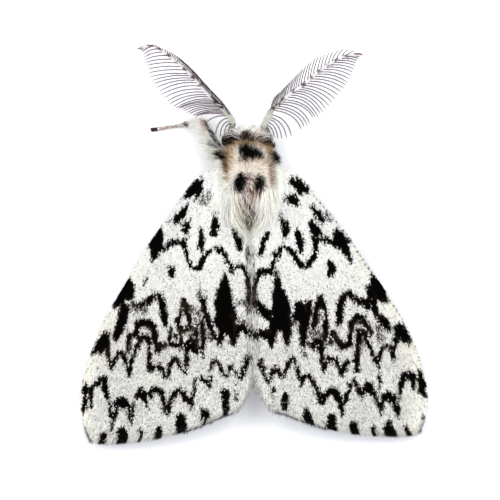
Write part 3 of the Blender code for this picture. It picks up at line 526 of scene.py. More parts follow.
def dress(piece, finish, nodes=()):
    # Gives a piece its finish, its material slot and the nodes of the frame that it stands for.
    piece.data.materials.clear()
    piece.data.materials.append(finish)
    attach(piece, "root")
    if nodes:
        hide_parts(*nodes)
    return piece


hairShape = {           # by the number of rings: where the rings stand on a hair, and how full they are
    2: ((0.0, 0.5, 1.0), (0.9, 0.85)),
    3: ((0.0, 0.35, 0.72, 1.0), (0.8, 1.0, 0.6)),
}
hairUv = (0.0015, 0.003)      # size of a hair or a scale on the unwrap
lowest = 0.06                 # no hair comes nearer to the floor, in mm
threeSides = (90, 210, 330)   # where the edges of hairs and rays stand round their middle


def rodFaces(rings):
    # The foot and the sides of a closed, three-sided rod, whose points come ring by ring.
    faces = [(0, 2, 1)]
    for ring in range(rings - 1):
        for k in range(3):
            a, b = ring * 3 + k, ring * 3 + (k + 1) % 3
            faces += [(a, b, b + 3), (a, b + 3, a + 3)]
    return faces


def repeated(faces, count, size):
    # The same faces for each of so many shapes with this number of points.
    return (np.array(faces)[None] + (np.arange(count) * size)[:, None, None]).reshape(-1, 3)


def drawTogether(path, roots, flows, share, clump):
    # Locks: the tips of neighbours draw together sideways.
    count = len(roots)
    chance = np.random.default_rng(count)
    chosen = chance.permutation(count)[: max(1, count // clump)]
    heads = KDTree(len(chosen))
    for k, index in enumerate(chosen):
        heads.insert(Vector(roots[index]), k)
    heads.balance()
    lead = np.array([chosen[heads.find(Vector(root))[1]] for root in roots])
    drawn = path[lead] - path
    drawn -= flows[:, None] * (drawn * flows[:, None]).sum(2, keepdims=True)
    return path + drawn * share[None, :, None] * chance.uniform(0.3, 0.7, (count, 1, 1))


def growHairs(
    name, roots, normals, flows, lengths, widths, colours, uvs, rise, over=None, curl=None, clump=0, rings=2
):
    # Closed hairs that taper to a point. Each leaves the skin at one angle and ends at another.
    count, size = len(roots), rings * 3 + 1
    flows = unit(flows)
    sides = unit(np.cross(flows, normals))
    steps, full = hairShape[rings]
    steps = np.array(steps)
    angles = np.radians(rise[0] + (rise[1] - rise[0]) * (steps[1:] + steps[:-1]) / 2)[None, :, None]
    parts = flows[:, None] * np.cos(angles) + normals[:, None] * np.sin(angles)
    parts = parts * (np.diff(steps)[None] * lengths[:, None])[..., None]
    path = roots[:, None] + np.concatenate([np.zeros((count, 1, 3)), np.cumsum(parts, axis=1)], axis=1)
    if curl is not None:
        path = path + sides[:, None] * (curl[:, None] * steps**2 * lengths[:, None])[..., None]
    if clump:
        path = drawTogether(path, roots, flows, steps**2, clump)
    if over is not None:
        path = liftOver(path, *over)
    path[..., 2] = np.maximum(path[..., 2], lowest)
    ahead = unit(path[:, -1] - path[:, 0])
    sides = unit(np.cross(ahead, normals + 0.02))
    rises = np.cross(sides, ahead)
    points = np.empty((count, size, 3))
    for k, angle in enumerate(threeSides):
        a = math.radians(angle)
        off = sides * (math.cos(a) * widths[:, None]) + rises * (math.sin(a) * widths[:, None] * 0.75)
        for ring in range(rings):
            points[:, ring * 3 + k] = path[:, ring] + off * full[ring]
    points[:, -1] = path[:, -1]
    tip = rings * 3
    faces = [*rodFaces(rings), (tip - 3, tip - 2, tip), (tip - 2, tip - 1, tip), (tip - 1, tip - 3, tip)]
    faces = repeated(faces, count, size)
    local = np.array([(x, step) for step in steps[:-1] for x in (0, -1, 1)] + [(0, 1)], float)
    places = (uvs[:, None] + ((local - (0, 0.5)) * hairUv)[None]).reshape(-1, 2)
    return meshPiece(name, points.reshape(-1, 3), faces, np.repeat(colours, size, axis=0), places)


def layScales(name, roots, normals, flows, lengths, widths, colours, uvs):
    # Flat closed scales, widest near their end, laid like tiles.
    count = len(roots)
    flows = unit(flows)
    sides = unit(np.cross(flows, normals))
    up = normals * (lengths * wing["scaleTilt"])[:, None]
    along, wide = flows * lengths[:, None], sides * widths[:, None]
    points = np.empty((count, 5, 3))
    points[:, 0] = roots
    points[:, 1] = roots + along * 0.76 - wide * 0.5 + up * 0.8
    points[:, 2] = roots + along + up
    points[:, 3] = roots + along * 0.78 + wide * 0.5 + up * 0.8
    points[:, 4] = roots + along * 0.5 + up * 0.5 - normals * 0.03
    faces = repeated([(0, 3, 1), (1, 3, 2), (0, 1, 4), (1, 2, 4), (2, 3, 4), (3, 0, 4)], count, 5)
    local = np.array([(0, 0), (-1, 0.76), (0, 1), (1, 0.78), (0, 0.5)]) - (0, 0.5)
    places = (uvs[:, None] + (local * hairUv)[None]).reshape(-1, 2)
    return meshPiece(name, points.reshape(-1, 3), faces, np.repeat(colours, 5, axis=0), places)


skyHeight = 30.0      # over everything, in mm: rays are cast down from here


def heightAt(tree, x, y):
    # How high the surface lies at this place, or None where there is none.
    hit = tree.ray_cast(Vector((x, y, skyHeight)), Vector((0, 0, -1)))[0]
    return None if hit is None else hit.z


def liftOver(path, over, deep, clear=0.08, tuck=0.2):
    # Keeps hair paths above the surface they lie on, and those that start deep under it below it.
    heights = np.full(path.shape[:2], np.nan)
    for k, hair in enumerate(path):
        for j, (x, y, _) in enumerate(hair):
            height = heightAt(over, x, y)
            if height is not None:
                heights[k, j] = height
    covered = ~np.isnan(heights)
    below = (covered & (path[..., 2] < heights - deep))[:, 0]
    lifted = np.where(covered, np.maximum(path[..., 2], heights + clear), path[..., 2])
    lowered = np.where(covered, np.minimum(path[..., 2], heights - tuck), path[..., 2])
    path[..., 2] = np.where(below[:, None], lowered, lifted)
    return path


class Wire:
    # A socket of a material's nodes, with the sums that the finishes use.
    def __init__(self, paint, socket):
        self.paint, self.socket = paint, socket

    def sum(self, operation, first, second):
        made = self.paint.node("ShaderNodeMath", {"operation": operation}, {0: first, 1: second})
        return Wire(self.paint, made.outputs[0])

    def __add__(self, other):
        return self.sum("ADD", self, other)

    def __radd__(self, other):
        return self.sum("ADD", other, self)

    def __mul__(self, other):
        return self.sum("MULTIPLY", self, other)

    def __rmul__(self, other):
        return self.sum("MULTIPLY", other, self)


class Paint:
    # One material, whose nodes come from its node method.
    def __init__(self, name, constants):
        self.material = bpy.data.materials.new(name)
        self.material.use_nodes = True
        self.tree = self.material.node_tree
        self.shader = self.tree.nodes["Principled BSDF"]
        for key, value in constants.items():
            self.shader.inputs[key].default_value = value

    def node(self, kind, settings=None, values=None):
        made = self.tree.nodes.new(kind)
        for key, value in (settings or {}).items():
            setattr(made, key, value)
        for key, value in (values or {}).items():
            if isinstance(value, Wire):
                self.tree.links.new(value.socket, made.inputs[key])
            else:
                made.inputs[key].default_value = value
        return made

    def wire(self, kind, output, settings=None, values=None):
        return Wire(self, self.node(kind, settings, values).outputs[output])

    def feed(self, **sockets):
        for key, value in sockets.items():
            self.tree.links.new(value.socket, self.shader.inputs[key.replace("_", " ")])

    def mix(self, factor, first, second, blend="MIX"):
        return self.wire(
            "ShaderNodeMix", 2, {"data_type": "RGBA", "blend_type": blend}, {0: factor, 6: first, 7: second}
        )


bodyShade = 0.77      # how pale the moth is beside the bright card it lies on


def coatFinish(name, roughness, grain, depth, mottle=0.12, gloss=0.02):
    # A finish that takes its colour from the piece's coat attribute, with fine grain and a slight mottle.
    paint = Paint(name, {"Roughness": roughness, "Specular IOR Level": gloss})
    place = paint.wire("ShaderNodeTexCoord", "Object")
    coat = paint.wire("ShaderNodeAttribute", "Color", {"attribute_name": "coat"})
    noise = paint.wire("ShaderNodeTexNoise", 0, {}, {"Vector": place, "Scale": grain, "Detail": 3.0})
    shade = noise * (2 * mottle * bodyShade) + (1 - mottle) * bodyShade
    grey = paint.wire("ShaderNodeCombineColor", 0, {}, {0: shade, 1: shade, 2: shade})
    bump = paint.wire("ShaderNodeBump", "Normal", {}, {"Height": noise, "Strength": 0.4, "Distance": depth})
    paint.feed(Base_Color=paint.mix(1.0, coat, grey, "MULTIPLY"), Normal=bump)
    return paint.material


wing = {                  # outlines in mm, for the right side: front edge, back edge and outer edge
    "costa": ((1.5, 5.3, 4.0), (3.5, 4.45, 3.65), (5.33, 2.17, 2.85), (6.9, 0.1, 2.3), (8.25, -2.05, 1.9)),
    "dorsum": ((1.5, 3.7, 4.45), (1.25, 2.2, 4.75), (0.75, 1.1, 4.95), (0.3, 0.2, 5.0), (0.16, -1.2, 5.0),
               (0.16, -5.0, 4.75), (0.17, -8.6, 4.4), (0.55, -10.2, 4.15), (1.05, -11.1, 4.0)),
    "outer": ((8.25, -2.05, 1.9), (9.35, -3.75, 1.65), (10.3, -5.4, 1.5), (11.2, -7.4, 1.35),
              (11.8, -9.4, 1.25), (11.98, -11.4, 1.2), (11.6, -13.1, 1.25), (10.9, -13.8, 1.35),
              (8.22, -13.7, 1.85), (6.06, -13.34, 2.4), (4.08, -12.71, 2.95), (2.4, -12.0, 3.5),
              (1.45, -11.65, 3.85), (1.05, -11.1, 4.0)),
    "camber": 0.35,
    "together": 0.12,     # how far the inner edge is moved towards the other wing
    "veins": (0.09, 0.2, 0.31, 0.41, 0.5, 0.575, 0.645, 0.715, 0.785, 0.86, 0.94),
    "cellVeins": (5, 6, 7),      # these veins start at the end of the wing's middle cell
    "cellEnd": 0.52,
    "veinRise": 0.05,
    "veinWidth": 0.007,
    "thickness": 0.07,
    "rows": 112,
    "columns": 88,
    "fringe": 0.023,      # share of the wing's length that the fringe takes
    "fringeFrom": (0.46, 0.05),      # where across the wing it begins, and how fast
    "scales": 39000,
    "scaleLength": 0.135,
    "scaleWidth": 0.08,
    "scaleTilt": 0.12,
    "scaleLift": 0.012,
    "fringeHairs": 4300,
    "fringeRadius": 0.024,
    "innerHairs": 3400,
    "innerRadius": 0.02,
    "corners": (0.53, 0.80),      # across the wing, the fringe's corners lie before and behind these; dark hairs under them are painted shadow
    "marginFront": 0.27,          # along the wing, the ends of the inner margin's front and middle
    "marginMiddle": 0.56,
    "corner": (0.045, 0.045, 0.06),   # tones of the fringe: the painted shadow under its corners, and the inner margin's front, middle and end
    "margin": (0.84, 0.825, 0.74),    # and the inner margin's front,
    "streak": (0.10, 0.08, 0.07),     # middle
    "tail": (0.60, 0.585, 0.55),      # and end
}
hind = {
    "costa": ((1.55, 3.9), (4.2, 2.0), (6.6, -1.2), (8.3, -4.2), (9.2, -7.0)),
    "dorsum": ((1.6, 2.8), (1.95, 0.5), (2.0, -2.5), (1.9, -6.0), (1.6, -8.8)),
    "outer": ((9.2, -7.0), (9.2, -9.3), (8.0, -11.1), (5.8, -11.6), (3.6, -11.0), (2.2, -9.9), (1.6, -8.8)),
    "veins": (0.12, 0.27, 0.4, 0.52, 0.66, 0.8, 0.91),
    "cellVeins": (),
    "veinRise": 0.05,
    "veinWidth": 0.01,
    "under": 1.05,        # how far its upper face lies under that of the forewing
    "alone": 3.0,         # the forewing's height is taken as this where it isn't over it
    "smoothing": 6,       # rounds
    "thickness": 0.07,
    "rows": 56,
    "columns": 46,
    "fringe": 0.045,
    "fringeFrom": (0.05, 0.1),
    "fringeHairs": 1200,
    "fringeRadius": 0.03,
    "tone": (0.50, 0.47, 0.43),
    "fringeTones": ((0.30, 0.27, 0.25), (0.66, 0.62, 0.57)),
}


def stretchSheet(costa, outer, dorsum, rows, columns):
    # A grid of points that fills the space between a wing's root, its long edges and its outer edge.
    along, across = np.linspace(0, 1, rows), np.linspace(0, 1, columns)
    front, back, rim = smoothLine(costa, along), smoothLine(dorsum, along), smoothLine(outer, across)
    u, v = along[:, None, None], across[None, :, None]
    root = front[0] * (1 - v) + back[0] * v
    corners = (1 - u) * root + u * (front[-1] * (1 - v) + back[-1] * v)
    return (1 - v) * front[:, None] + v * back[:, None] + (1 - u) * root + u * rim[None] - corners


def readGrid(grid, u, v):
    # Points of a wing's grid at these shares along and across it.
    rows, columns = grid.shape[:2]
    r, c = np.clip(u, 0, 1) * (rows - 1), np.clip(v, 0, 1) * (columns - 1)
    r0, c0 = np.minimum(r.astype(int), rows - 2), np.minimum(c.astype(int), columns - 2)
    fr, fc = (r - r0)[..., None], (c - c0)[..., None]
    near = grid[r0, c0] * (1 - fc) + grid[r0, c0 + 1] * fc
    far = grid[r0 + 1, c0] * (1 - fc) + grid[r0 + 1, c0 + 1] * fc
    return near * (1 - fr) + far * fr


def raiseVeins(grid, settings):
    # Lifts the grid a little along its veins.
    u = np.linspace(0, 1, settings["rows"])[:, None]
    v = np.linspace(0, 1, settings["columns"])[None]
    for k, vein in enumerate(settings["veins"]):
        started = np.clip(u * 8, 0, 1)
        if k in settings["cellVeins"]:
            started = np.clip((u - settings["cellEnd"]) * 12, 0, 1)
        ridge = np.exp(-(((v - vein) / settings["veinWidth"]) ** 2))
        grid[..., 2] += settings["veinRise"] * started * ridge


def foreGrid():
    # The upper face of a forewing, cambered and with its veins.
    grid = stretchSheet(wing["costa"], wing["outer"], wing["dorsum"], wing["rows"], wing["columns"])
    u = np.linspace(0, 1, wing["rows"])[:, None]
    v = np.linspace(0, 1, wing["columns"])[None]
    grid[..., 2] += wing["camber"] * np.sin(math.pi * v) * np.sin(math.pi * np.minimum(1, u * 1.3) / 2)
    raiseVeins(grid, wing)
    inner = np.clip((v - 0.8) / 0.2, 0, 1) * np.clip(u * 3, 0, 1)
    grid[..., 0] -= wing["together"] * inner           # the two wings meet along the back
    grid[..., 1] += shift
    return grid


def endLine(v, settings):
    # Share of the wing's length at which the membrane ends: all of it, or less where the fringe grows.
    return 1 - settings["fringe"] * ramp(v, *settings["fringeFrom"])


def pointsOf(piece):
    flat = np.empty(len(piece.data.vertices) * 3)
    piece.data.vertices.foreach_get("co", flat)
    return flat.reshape(-1, 3)


def wingSkin(name, grid, settings, side):
    # A flat grid that is laid on the wing's surface, its face turned up.
    bpy.ops.object.select_all(action="DESELECT")
    columns, rows = settings["columns"], settings["rows"]
    bpy.ops.mesh.primitive_grid_add(x_subdivisions=columns, y_subdivisions=rows, size=2.0)
    skin = bpy.context.object
    skin.name = skin.data.name = name
    flat = pointsOf(skin)
    v, u = (flat[:, 0] + 1) / 2, (flat[:, 1] + 1) / 2
    points = readGrid(grid, u * endLine(v, settings), v) * (side, 1, 1)
    skin.data.vertices.foreach_set("co", points.ravel())
    skin.data.update()
    bpy.ops.object.mode_set(mode="EDIT")
    bpy.ops.mesh.select_all(action="SELECT")
    if side > 0:
        bpy.ops.mesh.flip_normals()
    bpy.ops.object.mode_set(mode="OBJECT")
    up = np.array([p.normal.z for p in skin.data.polygons]).mean()
    if up < 0:
        bpy.ops.object.mode_set(mode="EDIT")
        bpy.ops.mesh.flip_normals()
        bpy.ops.object.mode_set(mode="OBJECT")
    return skin


def thicken(skin, thickness):
    # Gives a wing its thickness, on its lower side.
    solid = skin.modifiers.new("Membrane", "SOLIDIFY")
    solid.thickness = thickness
    solid.offset = -1.0
    bpy.context.view_layer.objects.active = skin
    bpy.ops.object.modifier_apply(modifier=solid.name)


def treeOf(pieces, size=1.0):
    # What rays in mm are cast against: all faces of these pieces. Size is mm where they are in metres.
    points, faces = [], []
    for piece in pieces:
        first = len(points)
        points += [Vector(place) for place in pointsOf(piece) / size]
        faces += [tuple(k + first for k in p.vertices) for p in piece.data.polygons]
    return BVHTree.FromPolygons(points, faces)


def toMetres(piece):
    # From mm to metres, with smooth shading.
    bpy.ops.object.select_all(action="DESELECT")
    piece.select_set(True)
    bpy.context.view_layer.objects.active = piece
    piece.scale = (mm, mm, mm)
    bpy.ops.object.transform_apply(location=True, rotation=True, scale=True)
    bpy.ops.object.shade_smooth()


def spreadOver(grid, count, chance, settings):
    # Places spread evenly over a wing's grid, as shares along and across it.
    rows, columns = 80, 70
    u = (np.arange(rows) + 0.5) / rows
    v = (np.arange(columns) + 0.5) / columns
    uu, vv = np.meshgrid(u, v, indexing="ij")
    ends = endLine(vv, settings)
    ahead, behind = np.clip(uu + 0.5 / rows, 0, 1), np.clip(uu - 0.5 / rows, 0, 1)
    du = readGrid(grid, ahead * ends, vv) - readGrid(grid, behind * ends, vv)
    dv = readGrid(grid, uu * ends, vv + 0.5 / columns) - readGrid(grid, uu * ends, vv - 0.5 / columns)
    area = np.linalg.norm(np.cross(du, dv), axis=2).ravel()
    run = np.cumsum(area) / area.sum()
    pick = np.searchsorted(run, (np.arange(count) + chance.random(count)) / count)
    pick = pick.clip(0, rows * columns - 1)
    r, c = pick // columns, pick % columns
    vPlace = (c + chance.random(count)) / columns
    uPlace = (r + chance.random(count)) / rows
    return uPlace * endLine(vPlace, settings), vPlace


def wingFrames(grid, u, v, side):
    # Place, normal and outward flow of the wing at these shares.
    place = readGrid(grid, u, v)
    ahead = unit(readGrid(grid, np.minimum(u + 0.02, 1), v) - readGrid(grid, np.maximum(u - 0.02, 0), v))
    across = unit(readGrid(grid, u, np.minimum(v + 0.02, 1)) - readGrid(grid, u, np.maximum(v - 0.02, 0)))
    normal = unit(np.cross(ahead, across))
    normal = np.where(normal[:, 2:] < 0, -normal, normal)
    return place * (side, 1, 1), normal * (side, 1, 1), ahead * (side, 1, 1)


def toRim(grid, u, v):
    # How far it is from these shares along the wing to its end.
    return np.linalg.norm(readGrid(grid, np.ones(len(v)), v) - readGrid(grid, u, v), axis=1)


def wingUv(u, v):
    return np.stack([v, u], 1) * 0.98 + 0.01


def recolour(colours, chosen, tone):
    # Gives the chosen hairs another tone.
    return np.where(chosen[:, None], tone, colours)


def coverWing(name, side, grid, chance, finish):
    # The scales, from the outer edge inwards, in two pieces.
    u, v = spreadOver(grid, wing["scales"], chance, wing)
    order = np.argsort(-u, kind="stable")
    u, v = u[order], v[order]
    place, normal, flow = wingFrames(grid, u, v, side)
    turn = chance.normal(0, 0.16, len(u))[:, None]
    flow = flow + np.cross(normal, flow) * turn
    tilted = unit(normal + chance.normal(0, 0.10, (len(u), 3)))
    length = wing["scaleLength"] * chance.uniform(0.8, 1.2, len(u))
    width = wing["scaleWidth"] * chance.uniform(0.8, 1.15, len(u))
    colours = wingColour(place + unit(flow) * (length * 0.6)[:, None], chance, name)
    dark = (colours[:, 0] > 0.01) & (colours[:, 0] < 0.4)          # single dark scales are small
    length, width = np.where(dark, length * 0.85, length), np.where(dark, width * 0.72, width)
    place = place + normal * np.where(dark, wing["scaleLift"], 0.0)[:, None]
    place = place + normal * wing["scaleLift"]
    uvs = wingUv(u, v)
    half = len(u) // 2
    for part, rows in (("outer", slice(0, half)), ("inner", slice(half, None))):
        scales = layScales(
            f"forewing_{name}_{part}_scales", place[rows], tilted[rows], flow[rows],
            length[rows], width[rows], colours[rows], uvs[rows],
        )
        dress(scales, finish)


def fringeWing(name, side, grid, chance, finish):
    # The fringe along the outer edge, with dark hairs under its corners that are painted shadow.
    count = wing["fringeHairs"]
    v = np.sort(chance.uniform(0.465, 1.0, count))
    u = endLine(v, wing) * chance.uniform(0.978, 1.0, count)
    place, normal, flow = wingFrames(grid, u, v, side)
    reach = toRim(grid, u, v)
    fan = chance.normal(0, 0.14, count)[:, None]
    flow = flow + np.cross(normal, flow) * fan
    length = reach * chance.uniform(0.82, 1.04, count)
    colours = wingColour(place + unit(flow) * (length * 0.35)[:, None], chance, name, 0.6)
    colours = recolour(colours, chance.random(count) < 0.22, colours * 0.6 + 0.02)
    first, second = wing["corners"]
    low = ((v > second) | (v < first)) & (chance.random(count) < 0.5)      # painted shadow: dark hairs under the fringe's corners stand for the shade under the wing's edge
    colours = recolour(colours, low, wing["corner"])
    # the painted-shadow hairs reach further out and lie lower, so they show past the fringe as a dark line
    length = np.where(low, reach * chance.uniform(1.1, 1.35, count), length)
    place = place - normal * np.where(low, 0.08, 0.0)[:, None]
    fringe = growHairs(
        f"forewing_{name}_fringe", place, normal, flow, length, np.full(count, wing["fringeRadius"]),
        colours, wingUv(u, v), (3, -3),
    )
    dress(fringe, finish)


def fringeMargin(name, side, grid, chance, finish):
    # The loose fringe of the inner margin.
    count = wing["innerHairs"]
    u = np.sort(chance.uniform(0.12, 1.0, count))
    v = chance.uniform(0.965, 1.0, count)
    place, normal, flow = wingFrames(grid, u, v, side)
    front = u < wing["marginFront"]
    turned = np.where(front, np.clip((0.40 - u) * 4, 0, 0.9), np.clip((u - 0.72) * 5, 0, 0.75))
    inward = np.array([-side * 1.0, 0.0, -0.1]) * turned[:, None]
    flow = flow + inward + chance.normal(0, 0.16, (count, 3))
    length = chance.uniform(0.3, 0.55, count) * (1 - 0.25 * np.clip((u - 0.88) * 8, 0, 1))
    length = np.where(front, length * 1.8, length)
    colours = wingColour(place, chance, name)
    middle = (u > wing["marginFront"]) & (u < wing["marginMiddle"])
    for tone, stretch, share, darkest, palest in (
        ("margin", front, 0.86, 0.7, 1.1),
        ("streak", middle, 0.36, 0.3, 1.8),
        ("tail", u > 0.8, 0.8, 0.55, 1.25),
    ):
        chosen = stretch & (chance.random(count) < share)
        tones = np.array(wing[tone]) * chance.uniform(darkest, palest, (count, 1))
        colours = recolour(colours, chosen, tones)
    inner = growHairs(
        f"forewing_{name}_inner_fringe", place, normal, flow, length, np.full(count, wing["innerRadius"]),
        colours, wingUv(u, v), (4, -4),
    )
    dress(inner, finish)


def makeForewing(name, side, seed, finishes):
    # A forewing with its scales and fringes. What comes back is its surface, for the hindwing below.
    chance = np.random.default_rng(seed)
    grid = foreGrid()
    skin = wingSkin(f"forewing_{name}_skin", grid, wing, side)
    tree = treeOf([skin])
    thicken(skin, wing["thickness"])
    colours = wingColour(pointsOf(skin), chance, name, 1.0, 0.0)
    below = colours[len(colours) // 2 :]       # the second half of the points is the lower side
    faint = scaleTones["faint"]
    below[:] = below * faint + np.array(scaleTones["below"]) * (1 - faint)
    paintPoints(skin.data, colours)
    toMetres(skin)
    dress(skin, finishes["membrane"], [f"forewing_{name}"])
    for cover in (coverWing, fringeWing, fringeMargin):
        cover(name, side, grid, chance, finishes["scales"])
    return tree


def makeHindwing(name, side, seed, finishes, cover):
    # A hindwing that follows the forewing over it.
    chance = np.random.default_rng(seed)
    flat = [tuple((x, y, 0.0) for x, y in edge) for edge in (hind["costa"], hind["outer"], hind["dorsum"])]
    grid = stretchSheet(*flat, hind["rows"], hind["columns"])
    grid[..., 1] += shift
    for point in grid.reshape(-1, 3):
        height = heightAt(cover, point[0], point[1])
        point[2] = hind["alone"] if height is None else height
    for _ in range(hind["smoothing"]):
        padded = np.pad(grid[..., 2], 1, mode="edge")
        near = padded[:-2, 1:-1] + padded[2:, 1:-1] + padded[1:-1, :-2] + padded[1:-1, 2:]
        grid[..., 2] = near / 4
    grid[..., 2] -= hind["under"]
    raiseVeins(grid, hind)
    skin = wingSkin(f"hindwing_{name}_skin", grid, hind, side)
    thicken(skin, hind["thickness"])
    uneven = chance.normal(0, 0.06, (len(skin.data.vertices), 1))
    paintPoints(skin.data, np.clip(np.array(hind["tone"]) * (1 + uneven), 0.02, 0.9))
    toMetres(skin)
    dress(skin, finishes["membrane"], [f"hindwing_{name}"])
    count = hind["fringeHairs"]
    v = np.sort(chance.uniform(0.04, 1.0, count))
    u = endLine(v, hind) * chance.uniform(0.97, 1.0, count)
    place, normal, flow = wingFrames(grid, u, v, side)
    dark, pale = hind["fringeTones"]
    tones = np.where(np.sin(v * 60)[:, None] > 0.3, dark, pale)
    fringe = growHairs(
        f"hindwing_{name}_fringe", place, normal, flow, toRim(grid, u, v),
        np.full(count, hind["fringeRadius"]), tones, wingUv(u, v), (3, -3),
    )
    dress(fringe, finishes["scales"])


wingFinishes = {
    "membrane": coatFinish("wingMembrane", 0.7, 9000, 0.00002, 0.10, 0.0),
    "scales": coatFinish("wingScales", 0.6, 14000, 0.00001, 0.10, 0.0),
}
rightTree = makeForewing("right", 1, 11, wingFinishes)
leftTree = makeForewing("left", -1, 12, wingFinishes)
makeHindwing("right", 1, 13, wingFinishes, rightTree)
makeHindwing("left", -1, 14, wingFinishes, leftTree)
print("wings made")


body = {                  # one skin for head, thorax, abdomen, palps and legs: middles and radii in mm
    "thorax": ((0.0, 4.1, 3.25), (1.9, 2.25, 1.8)),
    "collar": ((0.0, 5.45, 3.25), (1.7, 1.0, 1.35)),
    "head": ((0.0, 6.85, 2.9), (1.08, 0.85, 1.0)),
    "abdomen": ((0.0, -4.15, 2.65), (1.38, 5.6, 1.1)),
    "segments": 7,
    "voxel": 0.085,
    "rosy": (0.66, 0.44, 0.42),
    "grey": (0.60, 0.55, 0.52),
    "ring": (0.045, 0.035, 0.033),
    "leg": (1.0, 0.96, 0.90),
}
foot = 0.19               # height of the feet's middle lines
legs = {
    "midleg": (
        ((1.05, 3.9, 1.75), (2.2, 3.75, 1.45), (3.7, 3.2, 1.75), (4.6, 1.9, 0.75), (5.0, 1.3, foot),
         (5.85, 0.35, foot)),
        (0.42, 0.34, 0.24, 0.2, 0.15, 0.13),
    ),
    "hindleg": (
        ((0.95, 2.7, 1.85), (1.9, 1.9, 1.4), (3.1, 0.6, 1.6), (3.9, -2.2, 0.8), (4.15, -3.2, foot),
         (4.7, -5.9, foot)),
        (0.42, 0.36, 0.26, 0.22, 0.15, 0.13),
    ),
    "tucked": (
        ((0.85, 5.4, 1.8), (1.45, 5.9, 1.45), (1.7, 6.6, 1.3), (1.55, 7.15, 0.7), (1.3, 7.4, foot),
         (0.2, 7.55, foot)),
        (0.4, 0.32, 0.27, 0.2, 0.15, 0.13),
    ),
    "stretched": (
        ((-0.9, 5.5, 1.8), (-1.9, 6.2, 1.75), (-3.0, 8.3, 1.5), (-3.9, 8.4, 0.75), (-4.6, 8.25, 0.24),
         (-6.66, 7.98, 0.24)),
        (0.42, 0.36, 0.32, 0.22, 0.11, 0.17),
    ),
}
palp = (((0.42, 7.2, 2.0), (0.46, 7.55, 1.95), (0.42, 7.78, 2.2)), (0.2, 0.2, 0.1))


def legPaths():
    # Every leg and palp as its path in mm and its radii.
    paths = {}
    for name, side in bothSides:
        for kind in ("midleg", "hindleg"):
            points, radii = legs[kind]
            paths[f"{kind}_{name}"] = (np.array(points) * (side, 1, 1), radii)
        paths[f"palp_{name}"] = (np.array(palp[0]) * (side, 1, 1), palp[1])
    paths["foreleg_right"] = (np.array(legs["tucked"][0]), legs["tucked"][1])
    paths["foreleg_left"] = (np.array(legs["stretched"][0]), legs["stretched"][1])
    return {name: (points + (0, shift, 0), radii) for name, (points, radii) in paths.items()}


def addBall(middle, radii):
    # An oval ball.
    x, y, z = middle
    bpy.ops.mesh.primitive_uv_sphere_add(segments=48, ring_count=32, radius=1.0, location=(x, y + shift, z))
    bpy.context.object.scale = radii
    bpy.ops.object.transform_apply(location=True, rotation=True, scale=True)
    return bpy.context.object


def addLimb(points, radii, knots=True):
    # A limb as a round tube whose thickness swells at its joints.
    shares = np.linspace(0, 1, 60)
    line = smoothLine(points, shares)
    thick = np.interp(shares, np.linspace(0, 1, len(radii)), radii)
    if knots:
        start, joints = 0.74, 5        # where the foot begins along a leg, and how many joints it has
        along = (shares - start) / (1 - start)
        swell = 0.14 * np.clip((shares - start) * 12, 0, 1) * np.cos(along * joints * 2 * math.pi)
        thick = thick * (1 + swell)
    curve = bpy.data.curves.new("limb", "CURVE")
    curve.dimensions = "3D"
    curve.bevel_depth = 1.0
    curve.bevel_resolution = 3
    curve.use_fill_caps = True
    spline = curve.splines.new("POLY")
    spline.points.add(len(line) - 1)
    for point, place, radius in zip(spline.points, line, thick):
        point.co = (*place, 1)
        point.radius = radius
    limb = bpy.data.objects.new("limb", curve)
    bpy.context.scene.collection.objects.link(limb)
    bpy.ops.object.select_all(action="DESELECT")
    limb.select_set(True)
    bpy.context.view_layer.objects.active = limb
    bpy.ops.object.convert(target="MESH")
    return bpy.context.object


def addSpike(start, end, radius):
    # A spur or claw, as a cone from start to end.
    way = Vector(end) - Vector(start)
    middle = (Vector(start) + Vector(end)) / 2
    bpy.ops.mesh.primitive_cone_add(
        vertices=8, radius1=radius, radius2=0.02, depth=way.length, location=middle
    )
    spike = bpy.context.object
    spike.rotation_euler = way.to_track_quat("Z", "Y").to_euler()
    bpy.ops.object.transform_apply(location=True, rotation=True, scale=True)
    return spike


